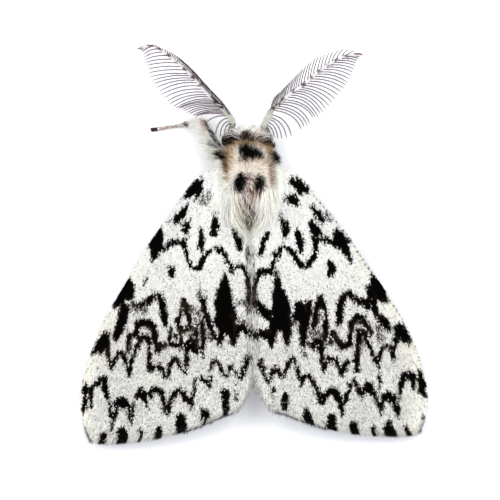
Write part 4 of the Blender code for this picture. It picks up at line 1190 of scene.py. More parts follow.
def makeBody(finish):
    # Balls, tubes and spikes that melt into one skin. What comes back is its surface, for the coats.
    bpy.ops.object.select_all(action="DESELECT")
    parts = [addBall(*body[key]) for key in ("thorax", "collar", "head")]
    abdomen = addBall(*body["abdomen"])
    middle, radii = body["abdomen"]
    for v in abdomen.data.vertices:           # ringed, and blunt at the tail
        t = (v.co.y - shift - middle[1]) / radii[1]
        ring = 1 - 0.045 * (0.5 + 0.5 * math.cos((t + 1) / 2 * body["segments"] * 2 * math.pi)) ** 3
        full = 1 + 0.25 * t * t
        v.co.x *= ring * full
        v.co.z = middle[2] + (v.co.z - middle[2]) * ring * full
    parts.append(abdomen)
    for name, (points, radii) in legPaths().items():
        parts.append(addLimb(points, radii, not name.startswith("palp")))
        if name.startswith("palp"):
            continue
        line = smoothLine(points, np.linspace(0, 1, 60))
        tip, ahead = line[-1], unit(line[-1] - line[-4])
        across = unit(np.cross(ahead, (0, 0, 1)))
        for spread in (-1, 1):
            claw = tip + ahead * 0.16 + across * spread * 0.1 - (0, 0, 0.06)
            parts.append(addSpike(tip - ahead * 0.08, claw, 0.05))
            if not name.startswith("foreleg"):
                knee = line[44]
                spur = knee + ahead * 0.45 + across * spread * 0.22 - (0, 0, 0.1)
                parts.append(addSpike(knee, spur, 0.06))
    bpy.ops.object.select_all(action="DESELECT")
    for part in parts:
        part.select_set(True)
    bpy.context.view_layer.objects.active = parts[0]
    bpy.ops.object.join()
    skin = bpy.context.object
    skin.name = skin.data.name = "body_skin"
    remesh = skin.modifiers.new("Remesh", "REMESH")
    remesh.mode = "VOXEL"
    remesh.voxel_size = body["voxel"]
    bpy.ops.object.modifier_apply(modifier=remesh.name)
    soften = skin.modifiers.new("Soften", "SMOOTH")
    soften.factor = 0.5
    soften.iterations = 4
    bpy.ops.object.modifier_apply(modifier=soften.name)
    paintPoints(skin.data, bodyColour(pointsOf(skin), np.random.default_rng(21)))
    tree = treeOf([skin])
    toMetres(skin)
    dress(skin, finish, ["thorax", "abdomen", "head", *legPaths()])
    print("body skin", len(skin.data.polygons), "faces")
    return tree


def bodyColour(points, chance):
    # Skin and coat markings of the body at points in mm: the abdomen and the legs have bands.
    colours = furColour(points, chance)
    y = points[:, 1] - shift
    back = np.clip((1.6 - y) / 0.6, 0, 1)[:, None] * (np.abs(points[:, 0]) < 1.95)[:, None]
    bands = 0.5 + 0.5 * np.sin((y + 9.9) / 11.5 * body["segments"] * 2 * math.pi)
    bands = bands + chance.normal(0, 0.12, len(y))
    rosy = (np.abs(points[:, :1]) < 1.0) | (points[:, 2:] < 2.4)
    ring = np.where(bands[:, None] > 0.74, body["ring"], np.where(rosy, body["rosy"], body["grey"]))
    colours = colours * (1 - back) + ring * back
    low = (points[:, 2:] < 2.1) & (back < 0.5) & (y[:, None] < 6.0)
    banded = np.where(np.sin(points[:, 1:2] * 5.0 + points[:, :1] * 4.0) > 0.62, 0.06, 0.66)
    return np.where(low & (np.abs(points[:, :1]) > 1.7), banded * np.array(body["leg"]), colours)


hairFinish = coatFinish("softHair", 0.65, 9000, 0.00001, 0.08, 0.04)
bodyTree = makeBody(coatFinish("bodySkin", 0.65, 5000, 0.00003, 0.14))


def skinRoots(starts, ways, sink=0.06):
    # Where rays meet the skin: the root places, their normals and which rays met it.
    roots, normals, met = [], [], []
    for start, way in zip(starts, ways):
        hit, normal, *_ = bodyTree.ray_cast(Vector(start), Vector(way))
        met.append(hit is not None)
        if hit is not None:
            roots.append(tuple(hit))
            normals.append(tuple(normal))
    roots, normals = np.array(roots), np.array(normals)
    return roots - normals * sink, normals, np.array(met)


eye = {"middle": (1.2, 7.0, 2.75), "radius": 0.57, "facets": 16000, "clear": 0.66}
eyeLook = {
    "Base Color": (0.006, 0.005, 0.005, 1),
    "Roughness": 0.32,
    "Specular IOR Level": 0.14,
    "Coat Weight": 0.05,
}
paint = Paint("darkEye", eyeLook)
place = paint.wire("ShaderNodeTexCoord", "Object")
cells = paint.wire("ShaderNodeTexVoronoi", "Distance", {}, {"Vector": place, "Scale": eye["facets"]})
facets = {"Height": cells, "Strength": 0.25, "Distance": 0.00001}
paint.feed(Normal=paint.wire("ShaderNodeBump", "Normal", {"invert": True}, facets))
balls = []
for name, side in bothSides:
    bpy.ops.object.select_all(action="DESELECT")
    x, y, z = eye["middle"]
    ball = addBall((side * x, y, z), (eye["radius"],) * 3)
    ball.name = ball.data.name = f"eye_{name}_ball"
    balls.append(ball)
eyeTop = (treeOf(balls), 3.0)      # what hair is laid over, and how deep under it hair may start and stay
for (name, _), ball in zip(bothSides, balls):
    toMetres(ball)
    dress(ball, paint.material, [f"eye_{name}"])
print("eyes set")

wingTop = (treeOf([bpy.data.objects[f"forewing_{name}_skin"] for name, _ in bothSides], mm), 0.25)
trunkLine = 2.9       # height of the middle line of the trunk
trunkReach = 2.35     # the skin further from it than this is that of the legs
coat = {
    # Each coat: how many hairs, their lengths and half width in mm, the angles at which they leave the skin
    # and end, and how many hairs make a lock. Long hair has one ring more, where it bends.
    "pelt": {"count": 15500, "length": (0.45, 0.9), "width": 0.016, "rise": (84, 52), "clump": 5},
    "tegula": {"count": 4900, "length": (1.3, 3.1), "width": 0.018, "rise": (34, -6), "clump": 12,
               "rings": 3},
    "legs": {"count": 900, "length": (0.22, 0.42), "width": 0.019, "rise": (38, 12)},
    "foreleg": {"length": (0.4, 0.9), "width": 0.018, "rise": (50, 18), "clump": 16},
    "tarsus": {"count": 1000, "length": (0.10, 0.2), "width": 0.015, "rise": (22, 4)},
    # These grow on the trunk: between two places along it, at these angles from its back, and lean this way,
    # more or less.
    "shoulder": {"count": 2400, "length": (0.8, 1.5), "width": 0.017, "rise": (42, 8), "clump": 9,
                 "span": (3.6, 6.4), "angles": (0.75, 1.75), "way": (0.35, -0.75, 0.1), "loose": 0.2},
    "chest": {"count": 3000, "length": (0.5, 0.9), "width": 0.026, "rise": (40, 10), "clump": 10,
              "span": (1.6, 6.4), "angles": (1.8, 2 * math.pi - 1.8), "way": (0, -1.0, -0.1), "loose": 0.13},
    "back": {"count": 3300, "length": (1.2, 2.3), "width": 0.0185, "rise": (36, -4), "clump": 9, "rings": 3,
             "span": (1.6, 3.9), "angles": (-0.95, 0.95), "way": (0, -1.0, 0.0), "loose": 0.24},
    "notch": {"count": 1800, "length": (1.5, 2.9), "width": 0.017, "rise": (26, -2), "clump": 8, "rings": 3,
              "span": (1.9, 3.3), "angles": (-0.3, 0.3), "way": (0, -1.0, 0.05), "loose": 0.1},
    "abdomen": {"count": 5000, "length": (0.5, 0.9), "width": 0.03, "rise": (24, 6), "clump": 9,
                "span": (-9.5, 1.7), "angles": (-math.pi, math.pi), "way": (0, -1.0, 0), "loose": 0.13},
    "head": {"count": 6000, "length": (0.35, 0.75), "width": 0.0155, "rise": (60, 14), "clump": 5,
             "span": (6.2, 7.66), "angles": (-math.pi, math.pi), "way": (0.9, 0.55, 0.0), "loose": 0.25},
    "brow": {"count": 2200, "length": (0.85, 1.5), "width": 0.0155, "rise": (30, -22), "clump": 4, "rings": 3,
             "span": (6.3, 7.6), "angles": (0.1, 1.05), "way": (1.0, 0.2, 0.0), "loose": 0.3},
    # And these on an end of it, where rays along it meet the skin. The rays start on an oval. The hair keeps
    # to a part of the trunk and flows in a fan: a share of x sideways, ahead, up, and up or down by a share
    # of its height over a level.
    "tail": {"count": 1400, "length": (0.5, 0.95), "width": 0.024, "rise": (30, 8), "clump": 8,
             "from": (-14.0, 2.55), "oval": (1.45, 1.15), "ray": (0.0, 1.0, 0.0), "keep": (-99, -7.5),
             "fan": (0.4, -1.0, 0.0, 0.35, 2.6), "loose": 0.15},
    "face": {"count": 1300, "length": (0.2, 0.38), "width": 0.016, "rise": (40, 0),
             "from": (12.0, 2.9), "oval": (0.85, 0.9), "ray": (0.0, -1.0, 0.0), "keep": (6.9, 8.0),
             "fan": (0.7, 0.1, -0.6, 0.2, 2.9), "loose": 0.25},
}


def aroundUv(points):
    # Unwrap place of a point of the trunk: round it across, along it up.
    around = np.arctan2(points[:, 0], points[:, 2] - trunkLine) / (2 * math.pi) + 0.5
    along = (points[:, 1] - shift + 10) / 18.6
    return np.stack([0.01 + 0.98 * around, 0.01 + 0.6 * np.clip(along, 0, 1)], 1)


def raysInwards(y, around, height):
    # Rays across the trunk to its middle line, at these angles from its back.
    ways = np.stack([-np.sin(around), np.zeros(len(y)), -np.cos(around)], 1)
    return np.stack([np.zeros(len(y)), y, np.full(len(y), height)], 1) - ways * 6, ways


def trunkRoots(key, chance, side=1):
    # Roots of a coat on the trunk, with their normals.
    kind = coat[key]
    y = chance.uniform(*kind["span"], kind["count"]) + shift
    around = chance.uniform(*sorted(side * angle for angle in kind["angles"]), kind["count"])
    roots, normals, _ = skinRoots(*raysInwards(y, around, trunkLine))
    keep = np.linalg.norm(roots[:, [0, 2]] - (0, trunkLine), axis=1) < trunkReach
    return roots[keep], normals[keep]


def leanBack(normals, way, chance, loose):
    # A flow along the skin towards the given way, a little different for each hair.
    way = np.asarray(way, float) + chance.normal(0, loose, normals.shape)
    return unit(way - normals * (way * normals).sum(1, keepdims=True))


def finishCoat(
    name, key, chance, roots, normals, flow,
    colourOf=furColour, uvs=None, slot="white_fur", stretch=1.0, over=None,
):
    # Grows one coat. Each hair takes the colour of the place over which its outer half lies.
    kind = coat[key]
    count = len(roots)
    length = chance.uniform(*kind["length"], count) * stretch
    tilt = math.radians(sum(kind["rise"]) / 2)
    middle = roots + (flow * math.cos(tilt) + normals * math.sin(tilt)) * (length * 0.66)[:, None]
    width = kind["width"] * chance.uniform(0.75, 1.25, count)
    colours = colourOf(middle, chance)
    if uvs is None:
        uvs = aroundUv(roots)
    piece = growHairs(
        name, roots, normals, flow, length, width, colours, uvs, kind["rise"], over,
        chance.normal(0, 0.13, count), kind.get("clump", 0), kind.get("rings", 2),
    )
    return dress(piece, hairFinish)


def trunkCoat(name, key, chance, side=1, **more):
    # Grows a coat of the trunk. The rest of what is given goes to finishCoat.
    roots, normals = trunkRoots(key, chance, side)
    flow = leanBack(normals, np.array(coat[key]["way"]) * (side, 1, 1), chance, coat[key]["loose"])
    finishCoat(name, key, chance, roots, normals, flow, **more)


def endRoots(key, chance):
    # Roots of a coat on an end of the trunk, with their normals and their flow.
    kind = coat[key]
    count, (y, z), (wide, high) = kind["count"], kind["from"], kind["oval"]
    turn, out = chance.uniform(0, 2 * math.pi, count), np.sqrt(chance.random(count))
    x, z = wide * out * np.cos(turn), z + high * out * np.sin(turn)
    starts = np.stack([x, np.full(count, y + shift), z], 1)
    roots, normals, _ = skinRoots(starts, np.tile(kind["ray"], (count, 1)))
    sideways, ahead, rise, fan, level = kind["fan"]
    x, y, z = roots.T
    flow = np.stack([sideways * x, np.full(len(x), ahead), rise + fan * (z - level)], 1)
    flow = unit(flow + chance.normal(0, kind["loose"], roots.shape))
    low, high = kind["keep"]
    keep = (y - shift > low) & (y - shift < high)
    return roots[keep], normals[keep], flow[keep]


# the round pelt over collar and back: short hair that stands up and leans outwards from its parting
pelt = {
    "across": (-2.0, 2.0),
    "along": (2.4, 6.55),
    "middle": 4.5,
    "radii": (2.0, 2.15),
    "above": 9.0,        # from this height its places are looked for, straight down
    "parting": 4.75,
    "spread": 1.6,       # the further from the parting in this unit, the flatter the hair
}
chance = np.random.default_rng(31)
count = coat["pelt"]["count"]
spotX, spotY = (chance.uniform(*pelt[way], count * 2) for way in ("across", "along"))
wide, long = pelt["radii"]
inside = (spotX / wide) ** 2 + ((spotY - pelt["middle"]) / long) ** 2 < 1
starts = np.stack([spotX, spotY + shift, np.full(count * 2, pelt["above"])], 1)[inside][:count]
roots, normals, _ = skinRoots(starts, np.tile((0.0, 0.0, -1.0), (len(starts), 1)))
out = roots - (0, pelt["parting"] + shift, 0)
out[:, 2] = 0
out = out / pelt["spread"] + (0, -0.12, 0)
flow = unit(out + chance.normal(0, 0.42, out.shape) * (1, 1, 0))
near = np.clip(np.linalg.norm(out, axis=1), 0, 1)[:, None]
normals = unit(unit(normals + np.array([0, 0, 0.5])) * (1.25 - 0.5 * near) + flow * near * 0.5)
flow = unit(flow - normals * (flow * normals).sum(1, keepdims=True))
finishCoat("thorax_pelt", "pelt", chance, roots, normals, flow, over=wingTop)

chance = np.random.default_rng(32)
for name, side in bothSides:
    trunkCoat(f"shoulder_{name}", "shoulder", chance, side, stretch=0.8, over=wingTop)
trunkCoat("chest_coat", "chest", np.random.default_rng(33))
trunkCoat("back_coat", "back", np.random.default_rng(34), over=wingTop)
trunkCoat("notch_coat", "notch", np.random.default_rng(39), over=wingTop)     # between the wings
chance = np.random.default_rng(35)
trunkCoat("abdomen_coat", "abdomen", chance, colourOf=bodyColour)
roots, normals, flow = endRoots("tail", chance)
short = np.clip((roots[:, 1] - shift + 10.4) / 1.6, 0.35, 1)
normals = unit(normals + flow * 0.4)
finishCoat("tail_tuft", "tail", chance, roots, normals, flow, bodyColour, stretch=short)

# head: hair all round it but the eyes, brows from the crown out over each eye, and a face
chance = np.random.default_rng(36)
roots, normals = trunkRoots("head", chance)
way = np.where([True, False, False], roots[:, :1], 1.0) * coat["head"]["way"]      # parted in the middle
flow = leanBack(normals, way, chance, coat["head"]["loose"])
free = np.ones(len(roots), bool)
for _, side in bothSides:
    x, y, z = eye["middle"]
    free &= np.linalg.norm(roots - (side * x, y + shift, z), axis=1) > eye["clear"]
roots, normals, flow = roots[free], normals[free], flow[free]
front = np.clip((roots[:, 1] - shift - 6.9) / 0.7, 0, 1)
crown = np.where(roots[:, 2] > 3.2, 1.0, 0.6) * (1 - 0.62 * front)
finishCoat("head_coat", "head", chance, roots, normals, flow, slot="head_fur", stretch=crown)
chance = np.random.default_rng(38)
for name, side in bothSides:
    trunkCoat(f"brow_{name}", "brow", chance, side, slot="head_fur", over=eyeTop)
chance = np.random.default_rng(37)
finishCoat("face_tuft", "face", chance, *endRoots("face", chance), slot="head_fur")

# long silky hair from each shoulder back over the roots of the wings
chance = np.random.default_rng(41)
for name, side in bothSides:
    count = coat["tegula"]["count"]
    share = chance.random(count)
    y = 5.9 - 2.5 * chance.random(count) - 0.3 * share + shift
    starts, ways = raysInwards(y, side * (0.5 + 0.75 * share), 3.1)
    roots, normals, met = skinRoots(starts, ways, 0.05)
    share = share[met]
    out = side * (-0.20 + 0.85 * share**2.2) + chance.normal(0, 0.13, len(roots))
    flow = unit(np.stack([out, np.full(len(roots), -1.0), 0.02 - 0.1 * share], 1))
    finishCoat(
        f"tegula_{name}", "tegula", chance, roots, normals, flow, stretch=1.0 - 0.5 * share, over=wingTop
    )


def roundAbout(ahead, turn):
    # Directions straight out of a limb that runs ahead, turned round it.
    across = unit(np.cross(ahead, (0.0, 0.0, 1.0)))
    return across * np.cos(turn) + np.cross(across, ahead) * np.sin(turn)


def limbCoat(name, key, limb, span, seed, row, colourOf=furColour, hang=(0, 0, 0), count=None, stretch=1.0):
    # Hair all round a stretch of a limb, lying towards its foot and hanging a given way.
    path, radii = limb
    chance = np.random.default_rng(seed)
    count = count or coat[key]["count"]
    share = chance.uniform(*span, count)
    line = smoothLine(path, np.linspace(0, 1, 200))
    index = (share * 198).astype(int)
    place, ahead = line[index], unit(line[index + 1] - line[index])
    radius = np.interp(share, np.linspace(0, 1, len(radii)), radii)[:, None]
    turn = chance.uniform(0, 2 * math.pi, count)[:, None]
    normal = roundAbout(ahead, turn)
    roots = place + normal * (radius - 0.05)
    flow = unit(ahead + np.array(hang) + chance.normal(0, 0.14, (count, 3)))
    uvs = np.stack([0.01 + 0.98 * share, 0.64 + 0.036 * row + 0.03 * turn[:, 0] / (2 * math.pi)], 1)
    return finishCoat(name, key, chance, roots, normal, flow, colourOf, uvs, "leg_scales", stretch)


paths = legPaths()
for row, name in enumerate(("midleg_left", "midleg_right", "hindleg_left", "hindleg_right", "foreleg_right")):
    limbCoat(f"{name}_coat", "legs", paths[name], (0.05, 0.93), 51 + row, row, bodyColour)
stretched = paths["foreleg_left"]
limbCoat(
    "foreleg_left_thigh", "foreleg", stretched, (0.06, 0.42), 56, 5,
    hang=(-0.5, -0.6, 0.1), count=2700, stretch=0.9,
)
limbCoat(
    "foreleg_left_shin", "foreleg", stretched, (0.40, 0.62), 57, 6,
    hang=(0.1, -0.5, 0.1), count=1500, stretch=0.6,
)
limbCoat("foreleg_left_tarsus", "tarsus", stretched, (0.58, 0.97), 58, 7)
for row, name in enumerate(("palp_left", "palp_right")):
    limbCoat(f"{name}_coat", "legs", paths[name], (0.0, 0.95), 60 + row, 8 + row, count=520)
print("coat grown")

feeler = {
    # the shafts: places on the sheet and heights in mm
    "right": [(263, 130, 3.5), (264.5, 124, 3.9), (271, 111, 4.1), (281, 102, 4.3), (288, 95, 4.35),
              (304, 84, 4.45), (315, 74, 4.45), (326, 66, 4.35), (338, 59, 4.2), (349, 55, 4.0),
              (363, 56, 3.8)],
    "left": [(232.5, 129, 3.5), (232, 121, 3.9), (226, 111, 4.1), (214, 100, 4.3), (206, 92, 4.4),
             (195, 79, 4.5), (184, 68, 4.5), (172, 58, 4.4), (164, 52, 4.3), (153, 46, 4.1), (137, 49, 3.8)],
    "radii": (0.15, 0.15, 0.14, 0.135, 0.125, 0.115, 0.10, 0.08, 0.05),
    "rays": {"outerRight": 37, "outerLeft": 37, "innerRight": 29, "innerLeft": 46},
    "rayRadius": {"outer": 0.040, "inner": 0.037},
    "hairsOnRays": {"outer": 5000, "inner": 700},
    "knots": 12,      # points along a ray
    # where the outer rays end on the sheet, from base to tip, and with which share of the rays
    "outerRight": [(266.5, 132, 0), (270, 135, 0.05), (275, 138, 0.09), (279, 138.5, 0.12), (284, 138, 0.15),
                   (290, 136.5, 0.19), (299.5, 130.5, 0.215), (304, 127, 0.25), (309, 124.5, 0.3),
                   (313, 117, 0.335), (316, 117.5, 0.37), (320, 114.5, 0.41), (325, 110, 0.46),
                   (330, 104.5, 0.51), (336, 98.5, 0.56), (341, 91.5, 0.61), (345.5, 86, 0.66),
                   (349, 80.5, 0.71), (352, 73, 0.77), (355, 66, 0.83), (357.5, 60.5, 0.89),
                   (359.5, 56.5, 0.95), (363, 55, 1.0)],
    "outerLeft": [(230.5, 132, 0), (228, 134.5, 0.03), (224, 135.5, 0.06), (219.5, 137, 0.09),
                  (212.5, 131.5, 0.125), (202.5, 116, 0.15), (197.5, 115.5, 0.19), (194, 116, 0.24),
                  (188.5, 113.5, 0.29), (184, 110.5, 0.34), (180, 108.5, 0.39), (176, 108.5, 0.44),
                  (171, 105, 0.49), (166, 100, 0.54), (160.5, 92.5, 0.6), (154.5, 85, 0.66),
                  (150.5, 77, 0.72), (147.5, 69, 0.78), (145.5, 62, 0.84), (144, 57, 0.89),
                  (142.5, 51.5, 0.95), (139, 49, 1.0)],
    # and the inner rays, which stand up and so look short from above
    "innerRight": [(275, 96, 0), (280, 92, 0.1), (287, 85, 0.24), (294, 77, 0.36), (300.5, 71, 0.46),
                   (307, 64.5, 0.55), (316.5, 57.5, 0.66), (328, 53.5, 0.78), (341.5, 49.5, 0.88),
                   (349, 49.5, 0.93), (361, 54, 1.0)],
    "innerLeft": [(228.5, 113, 0), (223.3, 105, 0.1), (215, 95, 0.22), (206.5, 85.5, 0.36), (196.5, 74, 0.5),
                  (184.5, 62.4, 0.64), (175, 54.6, 0.78), (164, 49, 0.9), (151, 45.5, 1.0)],
    # at which share of the shaft a ray starts, for its place in the row from base to tip
    "starts": {
        "outerRight": ((0, 0.19, 0.215, 0.35, 0.55, 0.72, 0.87, 1),
                       (0.012, 0.137, 0.175, 0.285, 0.465, 0.615, 0.78, 0.94)),
        "outerLeft": ((0, 0.12, 0.22, 0.43, 0.52, 0.62, 0.72, 0.78, 0.885, 1),
                      (0.012, 0.1, 0.15, 0.27, 0.345, 0.45, 0.53, 0.61, 0.77, 0.94)),
        "innerRight": ((0, 0.1, 0.24, 0.36, 0.46, 0.55, 0.66, 0.78, 0.88, 0.93, 1),
                       (0.166, 0.215, 0.289, 0.36, 0.41, 0.469, 0.564, 0.68, 0.775, 0.84, 0.93)),
        "innerLeft": ((0, 0.1, 0.22, 0.36, 0.5, 0.64, 0.78, 0.9, 1),
                      (0.09, 0.13, 0.2, 0.3, 0.4, 0.51, 0.65, 0.78, 0.92)),
    },
    # how far sideways, as a share, and how far ahead, in mm, an outer ray's bend lies from its start
    "bendRight": ((0, 0.2, 0.35, 0.55, 0.72, 1),
                  (0.95, 0.86, 0.75, 0.55, 0.58, 0.6),
                  (0.0, -0.2, 0.0, 0.0, 0.15, 0.1)),
    "bendLeft": ((0, 0.1, 0.13, 0.6, 0.8, 1),
                 (1.0, 0.95, 0.6, 0.5, 0.5, 0.5),
                 (0.0, 0.1, 0.25, 0.3, 0.2, 0.1)),
    # heights of the rays' ends in mm, at the base and at the tip, or of the lowest and the highest
    "tips": {
        "outerRight": (2.9, 3.5),
        "outerLeft": (2.9, 3.5),
        "innerRight": (5.05, 4.1),
        "innerLeft": (5.45, 4.3),
    },
    "creamEnd": 0.15,      # along the shaft, where its cream base ends,
    "darkEnd": 0.32,       # where the dark stretch after it ends
    "spotsFrom": 0.38,     # and where dark spots begin
    "pale": (0.86, 0.78, 0.78),
    "cream": (0.80, 0.79, 0.69),
    "dark": (0.035, 0.026, 0.026),
    "ray": (0.018, 0.012, 0.014),
    "hair": (0.62, 0.50, 0.56),
    "hairRadius": 0.009,
    "tuftHairs": 900,
    "tuftSpan": 0.17,      # share of the shaft that the tuft covers
    "tuftRadius": 0.015,
}


def rayMesh(name, lines, radius, colours):
    # Thin tapering rods along these lines, with three sides each, joined in one piece.
    count, rings = lines.shape[:2]
    ahead = unit(np.gradient(lines, axis=1))
    across = unit(np.cross(ahead, np.array([0.15, 0.1, 1.0])))
    rise = np.cross(across, ahead)
    taper = np.interp(np.linspace(0, 1, rings), (0, 0.1, 0.85, 1), (1.0, 0.95, 0.88, 0.55))[None, :, None]
    edges = []
    for angle in threeSides:
        a = math.radians(angle)
        edges.append(lines + (across * math.cos(a) + rise * math.sin(a)) * radius * taper)
    points = np.stack(edges, axis=2)
    last = (rings - 1) * 3
    faces = repeated([*rodFaces(rings), (last, last + 1, last + 2)], count, rings * 3)
    v = np.repeat(np.linspace(0.01, 0.99, rings), 3)[None].repeat(count, 0)
    u = (np.arange(count)[:, None] + 0.3 + 0.2 * np.tile([0, 1, 2], rings)[None]) / count
    uvs = np.stack([u, v], 2).reshape(-1, 2)
    return meshPiece(name, points.reshape(-1, 3), faces, np.repeat(colours, rings * 3, axis=0), uvs)


def spikes(name, roots, ways, radius, colours, uvs):
    # The finest hair: one closed spike of four faces each.
    count = len(roots)
    across = unit(np.cross(ways, np.array([0.1, 0.2, 1.0])))
    rise = unit(np.cross(across, ways))
    first = roots + across * radius
    second = roots - across * radius * 0.5 + rise * radius * 0.87
    third = roots - across * radius * 0.5 - rise * radius * 0.87
    points = np.stack([first, second, third, roots + ways], 1)
    faces = repeated([(0, 2, 1), (0, 1, 3), (1, 2, 3), (2, 0, 3)], count, 4)
    local = np.array([(-0.001, -0.001), (0.001, -0.001), (0.001, 0.001), (0, 0.002)])
    places = (uvs[:, None] + local[None]).reshape(-1, 2)
    return meshPiece(name, points.reshape(-1, 3), faces, np.repeat(colours, 4, axis=0), places)


def combLines(name, comb, line, chance):
    # The middle lines of the rays of one comb: each leaves its place on the shaft and bends to its end.
    key = comb + name.title()
    ends = np.array(feeler[key], float)
    count, knots = feeler["rays"][key], feeler["knots"]
    place = np.linspace(0, 1, count)
    tips = smoothLine(ends, np.linspace(0, 1, 300))
    order = tips[:, 2]
    endX, endY = np.interp(place, order, tips[:, 0]), np.interp(place, order, tips[:, 1])
    low, high = feeler["tips"][key]
    full = np.sin(math.pi * np.clip(place, 0.0, 1.0) ** 0.8)
    height = np.interp(place, (0, 1), (low, high)) if comb == "outer" else high + (low - high) * full
    endX = endX + chance.normal(0, 0.14, count)
    endY = endY + chance.normal(0, 0.14, count)
    end = np.array([fromSheet(x, y, z) for x, y, z in zip(endX, endY, height)])
    at = np.interp(place, *feeler["starts"][key])
    root = smoothLine(line, at)
    ahead = unit(smoothLine(line, np.minimum(at + 0.02, 1)) - smoothLine(line, np.maximum(at - 0.02, 0)))
    gone = end - root
    far = np.linalg.norm(gone, axis=1, keepdims=True)
    if comb == "outer":
        places, shares, lifts = feeler[f"bend{name.title()}"]
        sideways = gone[:, 0] * np.interp(place, places, shares)
        bend = root + np.stack([sideways, np.interp(place, places, lifts), gone[:, 2] * 0.5], 1)
    else:
        bend = root + unit(ahead * 0.12 + np.array([0.0, 0.8, 0.62])) * far * 0.5
    t = np.linspace(0, 1, knots)[None, :, None]
    lines = root[:, None] * (1 - t) ** 2 + 2 * bend[:, None] * t * (1 - t) + end[:, None] * t**2
    sway = np.sin(np.linspace(0, math.pi * 1.6, knots))[None, :, None]
    sway = sway * chance.normal(0, 0.009, (count, 1, 1))
    return lines + ahead[:, None] * sway * np.clip(far[:, None], 0, 1.5)


def makeFeeler(name, side, finish, seed):
    # A feeler: its shaft, two combs of rays, fine hairs on the rays and a tuft round its base.
    chance = np.random.default_rng(seed)
    line = np.array([fromSheet(*point) for point in feeler[name]])
    shaft = addLimb(line, feeler["radii"], False)
    shaft.name = shaft.data.name = f"antenna_{name}_shaft"
    points = pointsOf(shaft)
    share = np.linspace(0, 1, 400)
    fine = smoothLine(line, share)
    near = np.array([share[np.linalg.norm(fine - p, axis=1).argmin()] for p in points])
    pale, cream, dark = (np.array(feeler[tone]) for tone in ("pale", "cream", "dark"))
    base, end, beyond = feeler["creamEnd"], feeler["darkEnd"], near > feeler["spotsFrom"]
    spots = (np.sin(near * 80 + side) > 0.35) & beyond & (chance.random(len(near)) < 0.85)
    darkStretch = (near > base) & (near < end) & (chance.random(len(near)) < 0.8)
    colours = np.where(near[:, None] < base, cream, pale)
    colours = recolour(colours, spots, dark * 3.5)
    colours = recolour(colours, darkStretch, dark * chance.uniform(0.6, 2.5, (len(near), 1)))
    paintPoints(shaft.data, colours)
    toMetres(shaft)
    dress(shaft, finish, [f"antenna_{name}"])
    for comb in ("outer", "inner"):
        lines = combLines(name, comb, line, chance)
        count = len(lines)
        tones = np.array(feeler["ray"]) * chance.uniform(0.6, 1.6, (count, 1))
        rays = rayMesh(f"antenna_{name}_{comb}_rays", lines, feeler["rayRadius"][comb], tones)
        dress(rays, finish)
        hairs, last = feeler["hairsOnRays"][comb], feeler["knots"] - 1
        which, step = chance.integers(0, count, hairs), chance.uniform(0.4, last - 0.4, hairs)
        low = step.astype(int)
        part = (step - low)[:, None]
        roots = lines[which, low] * (1 - part) + lines[which, low + 1] * part
        ahead = unit(lines[which, low + 1] - lines[which, low])
        across = unit(np.cross(ahead, np.array([0.0, 0.0, 1.0]))) * chance.choice([-1, 1], (hairs, 1))
        ways = unit(across + ahead * 0.7 + chance.normal(0, 0.2, (hairs, 3)))
        ways = ways * chance.uniform(0.10, 0.2, (hairs, 1))
        tones = np.array(feeler["hair"]) * chance.uniform(0.8, 1.2, (hairs, 1))
        uvs = np.stack([0.01 + 0.98 * (which + 0.5) / count, 0.01 + 0.98 * step / last], 1)
        fringe = spikes(f"antenna_{name}_{comb}_fringe", roots, ways, feeler["hairRadius"], tones, uvs)
        dress(fringe, finish)

    count = feeler["tuftHairs"]
    share = chance.uniform(0.0, feeler["tuftSpan"], count)
    roots = smoothLine(line, share)
    ahead = unit(smoothLine(line, share + 0.02) - roots)
    turn = chance.uniform(0, 2 * math.pi, count)[:, None]
    normal = roundAbout(ahead, turn)
    tones = cream * chance.uniform(0.9, 1.1, (count, 1))
    darkFoot = (share < 0.035) & (np.sin(turn[:, 0]) * side < 0.2) & (chance.random(count) < 0.8)
    tones = recolour(tones, darkFoot, dark)
    uvs = np.stack([0.1 + share * 4, 0.05 + 0.9 * turn[:, 0] / 6.3], 1).clip(0.01, 0.99)
    tuft = growHairs(
        f"antenna_{name}_tuft", roots + normal * 0.08, normal, ahead + normal * 0.1,
        chance.uniform(0.22, 0.42, count), np.full(count, feeler["tuftRadius"]), tones, uvs, (30, 10),
    )
    dress(tuft, hairFinish)


feelerFinish = coatFinish("feelerRays", 0.5, 8000, 0.00001, 0.1, 0.06)
makeFeeler("right", 1, feelerFinish, 71)
makeFeeler("left", -1, feelerFinish, 72)
print("feelers made")

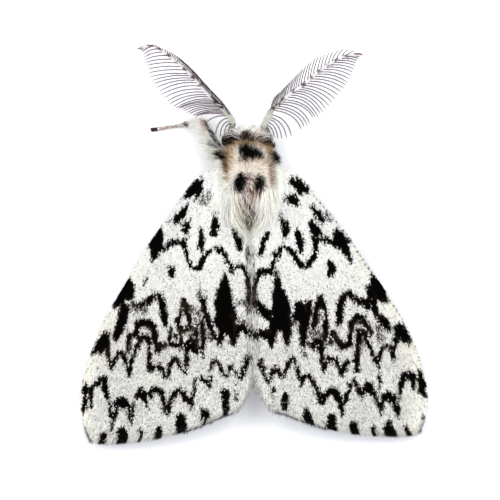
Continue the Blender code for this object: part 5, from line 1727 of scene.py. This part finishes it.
# floor, light and camera
studio = {                # sizes and places in metres
    "floor": 3.0,
    "card": (0.93, 0.935, 0.95, 1),
    "lamp": 0.205,
    "lampSize": 0.10,
    "lampPlace": (0.075, 0.06, 0.24),
    "lampColour": (1.0, 0.985, 0.96),
    "sky": 1.14,
    "skyColour": (0.93, 0.955, 1.0, 1),
    "film": 36,          # width of the camera's sensor, in its own mm
}
bpy.ops.object.select_all(action="DESELECT")
bpy.ops.mesh.primitive_plane_add(size=studio["floor"], location=(0, 0, 0))
floor = bpy.context.object
floor.name = "studio_floor"
floor.data.materials.append(Paint("whiteCard", {"Base Color": studio["card"], "Roughness": 0.9}).material)

for name, side in (("rightLamp", 1), ("leftLamp", -1)):
    x, y, z = studio["lampPlace"]
    bpy.ops.object.light_add(type="AREA", location=(side * x, y, z))
    lamp = bpy.context.object
    lamp.name = name
    lamp.data.energy = studio["lamp"]
    lamp.data.size = studio["lampSize"]
    lamp.data.color = studio["lampColour"]
    lamp.rotation_euler = (-Vector(lamp.location)).to_track_quat("-Z", "Y").to_euler()

world = bpy.data.worlds.new("studioSky")
world.use_nodes = True
sky = world.node_tree.nodes["Background"]
sky.inputs["Color"].default_value = studio["skyColour"]
sky.inputs["Strength"].default_value = studio["sky"]
bpy.context.scene.world = world

bpy.ops.object.camera_add(location=(0, (sheet["middleY"] + shift) * mm, sheet["eye"] * mm))
camera = bpy.context.object
camera.data.type = "PERSP"
camera.data.sensor_width = studio["film"]
camera.data.lens = studio["film"] * (sheet["eye"] - sheet["level"]) / (sheet["width"] * sheet["unit"])
camera.data.clip_start = 0.01
camera.rotation_euler = (0, 0, -math.radians(sheet["turn"]))
bpy.context.scene.camera = camera
bpy.context.scene.view_settings.view_transform = "Standard"

shown = [piece for piece in bpy.data.objects if piece.type == "MESH" and not piece.hide_render]
sizes = {piece.name: sum(len(p.vertices) - 2 for p in piece.data.polygons) for piece in shown}
print("triangles", sum(sizes.values()), "largest", sorted(sizes.items(), key=lambda row: -row[1])[:4])
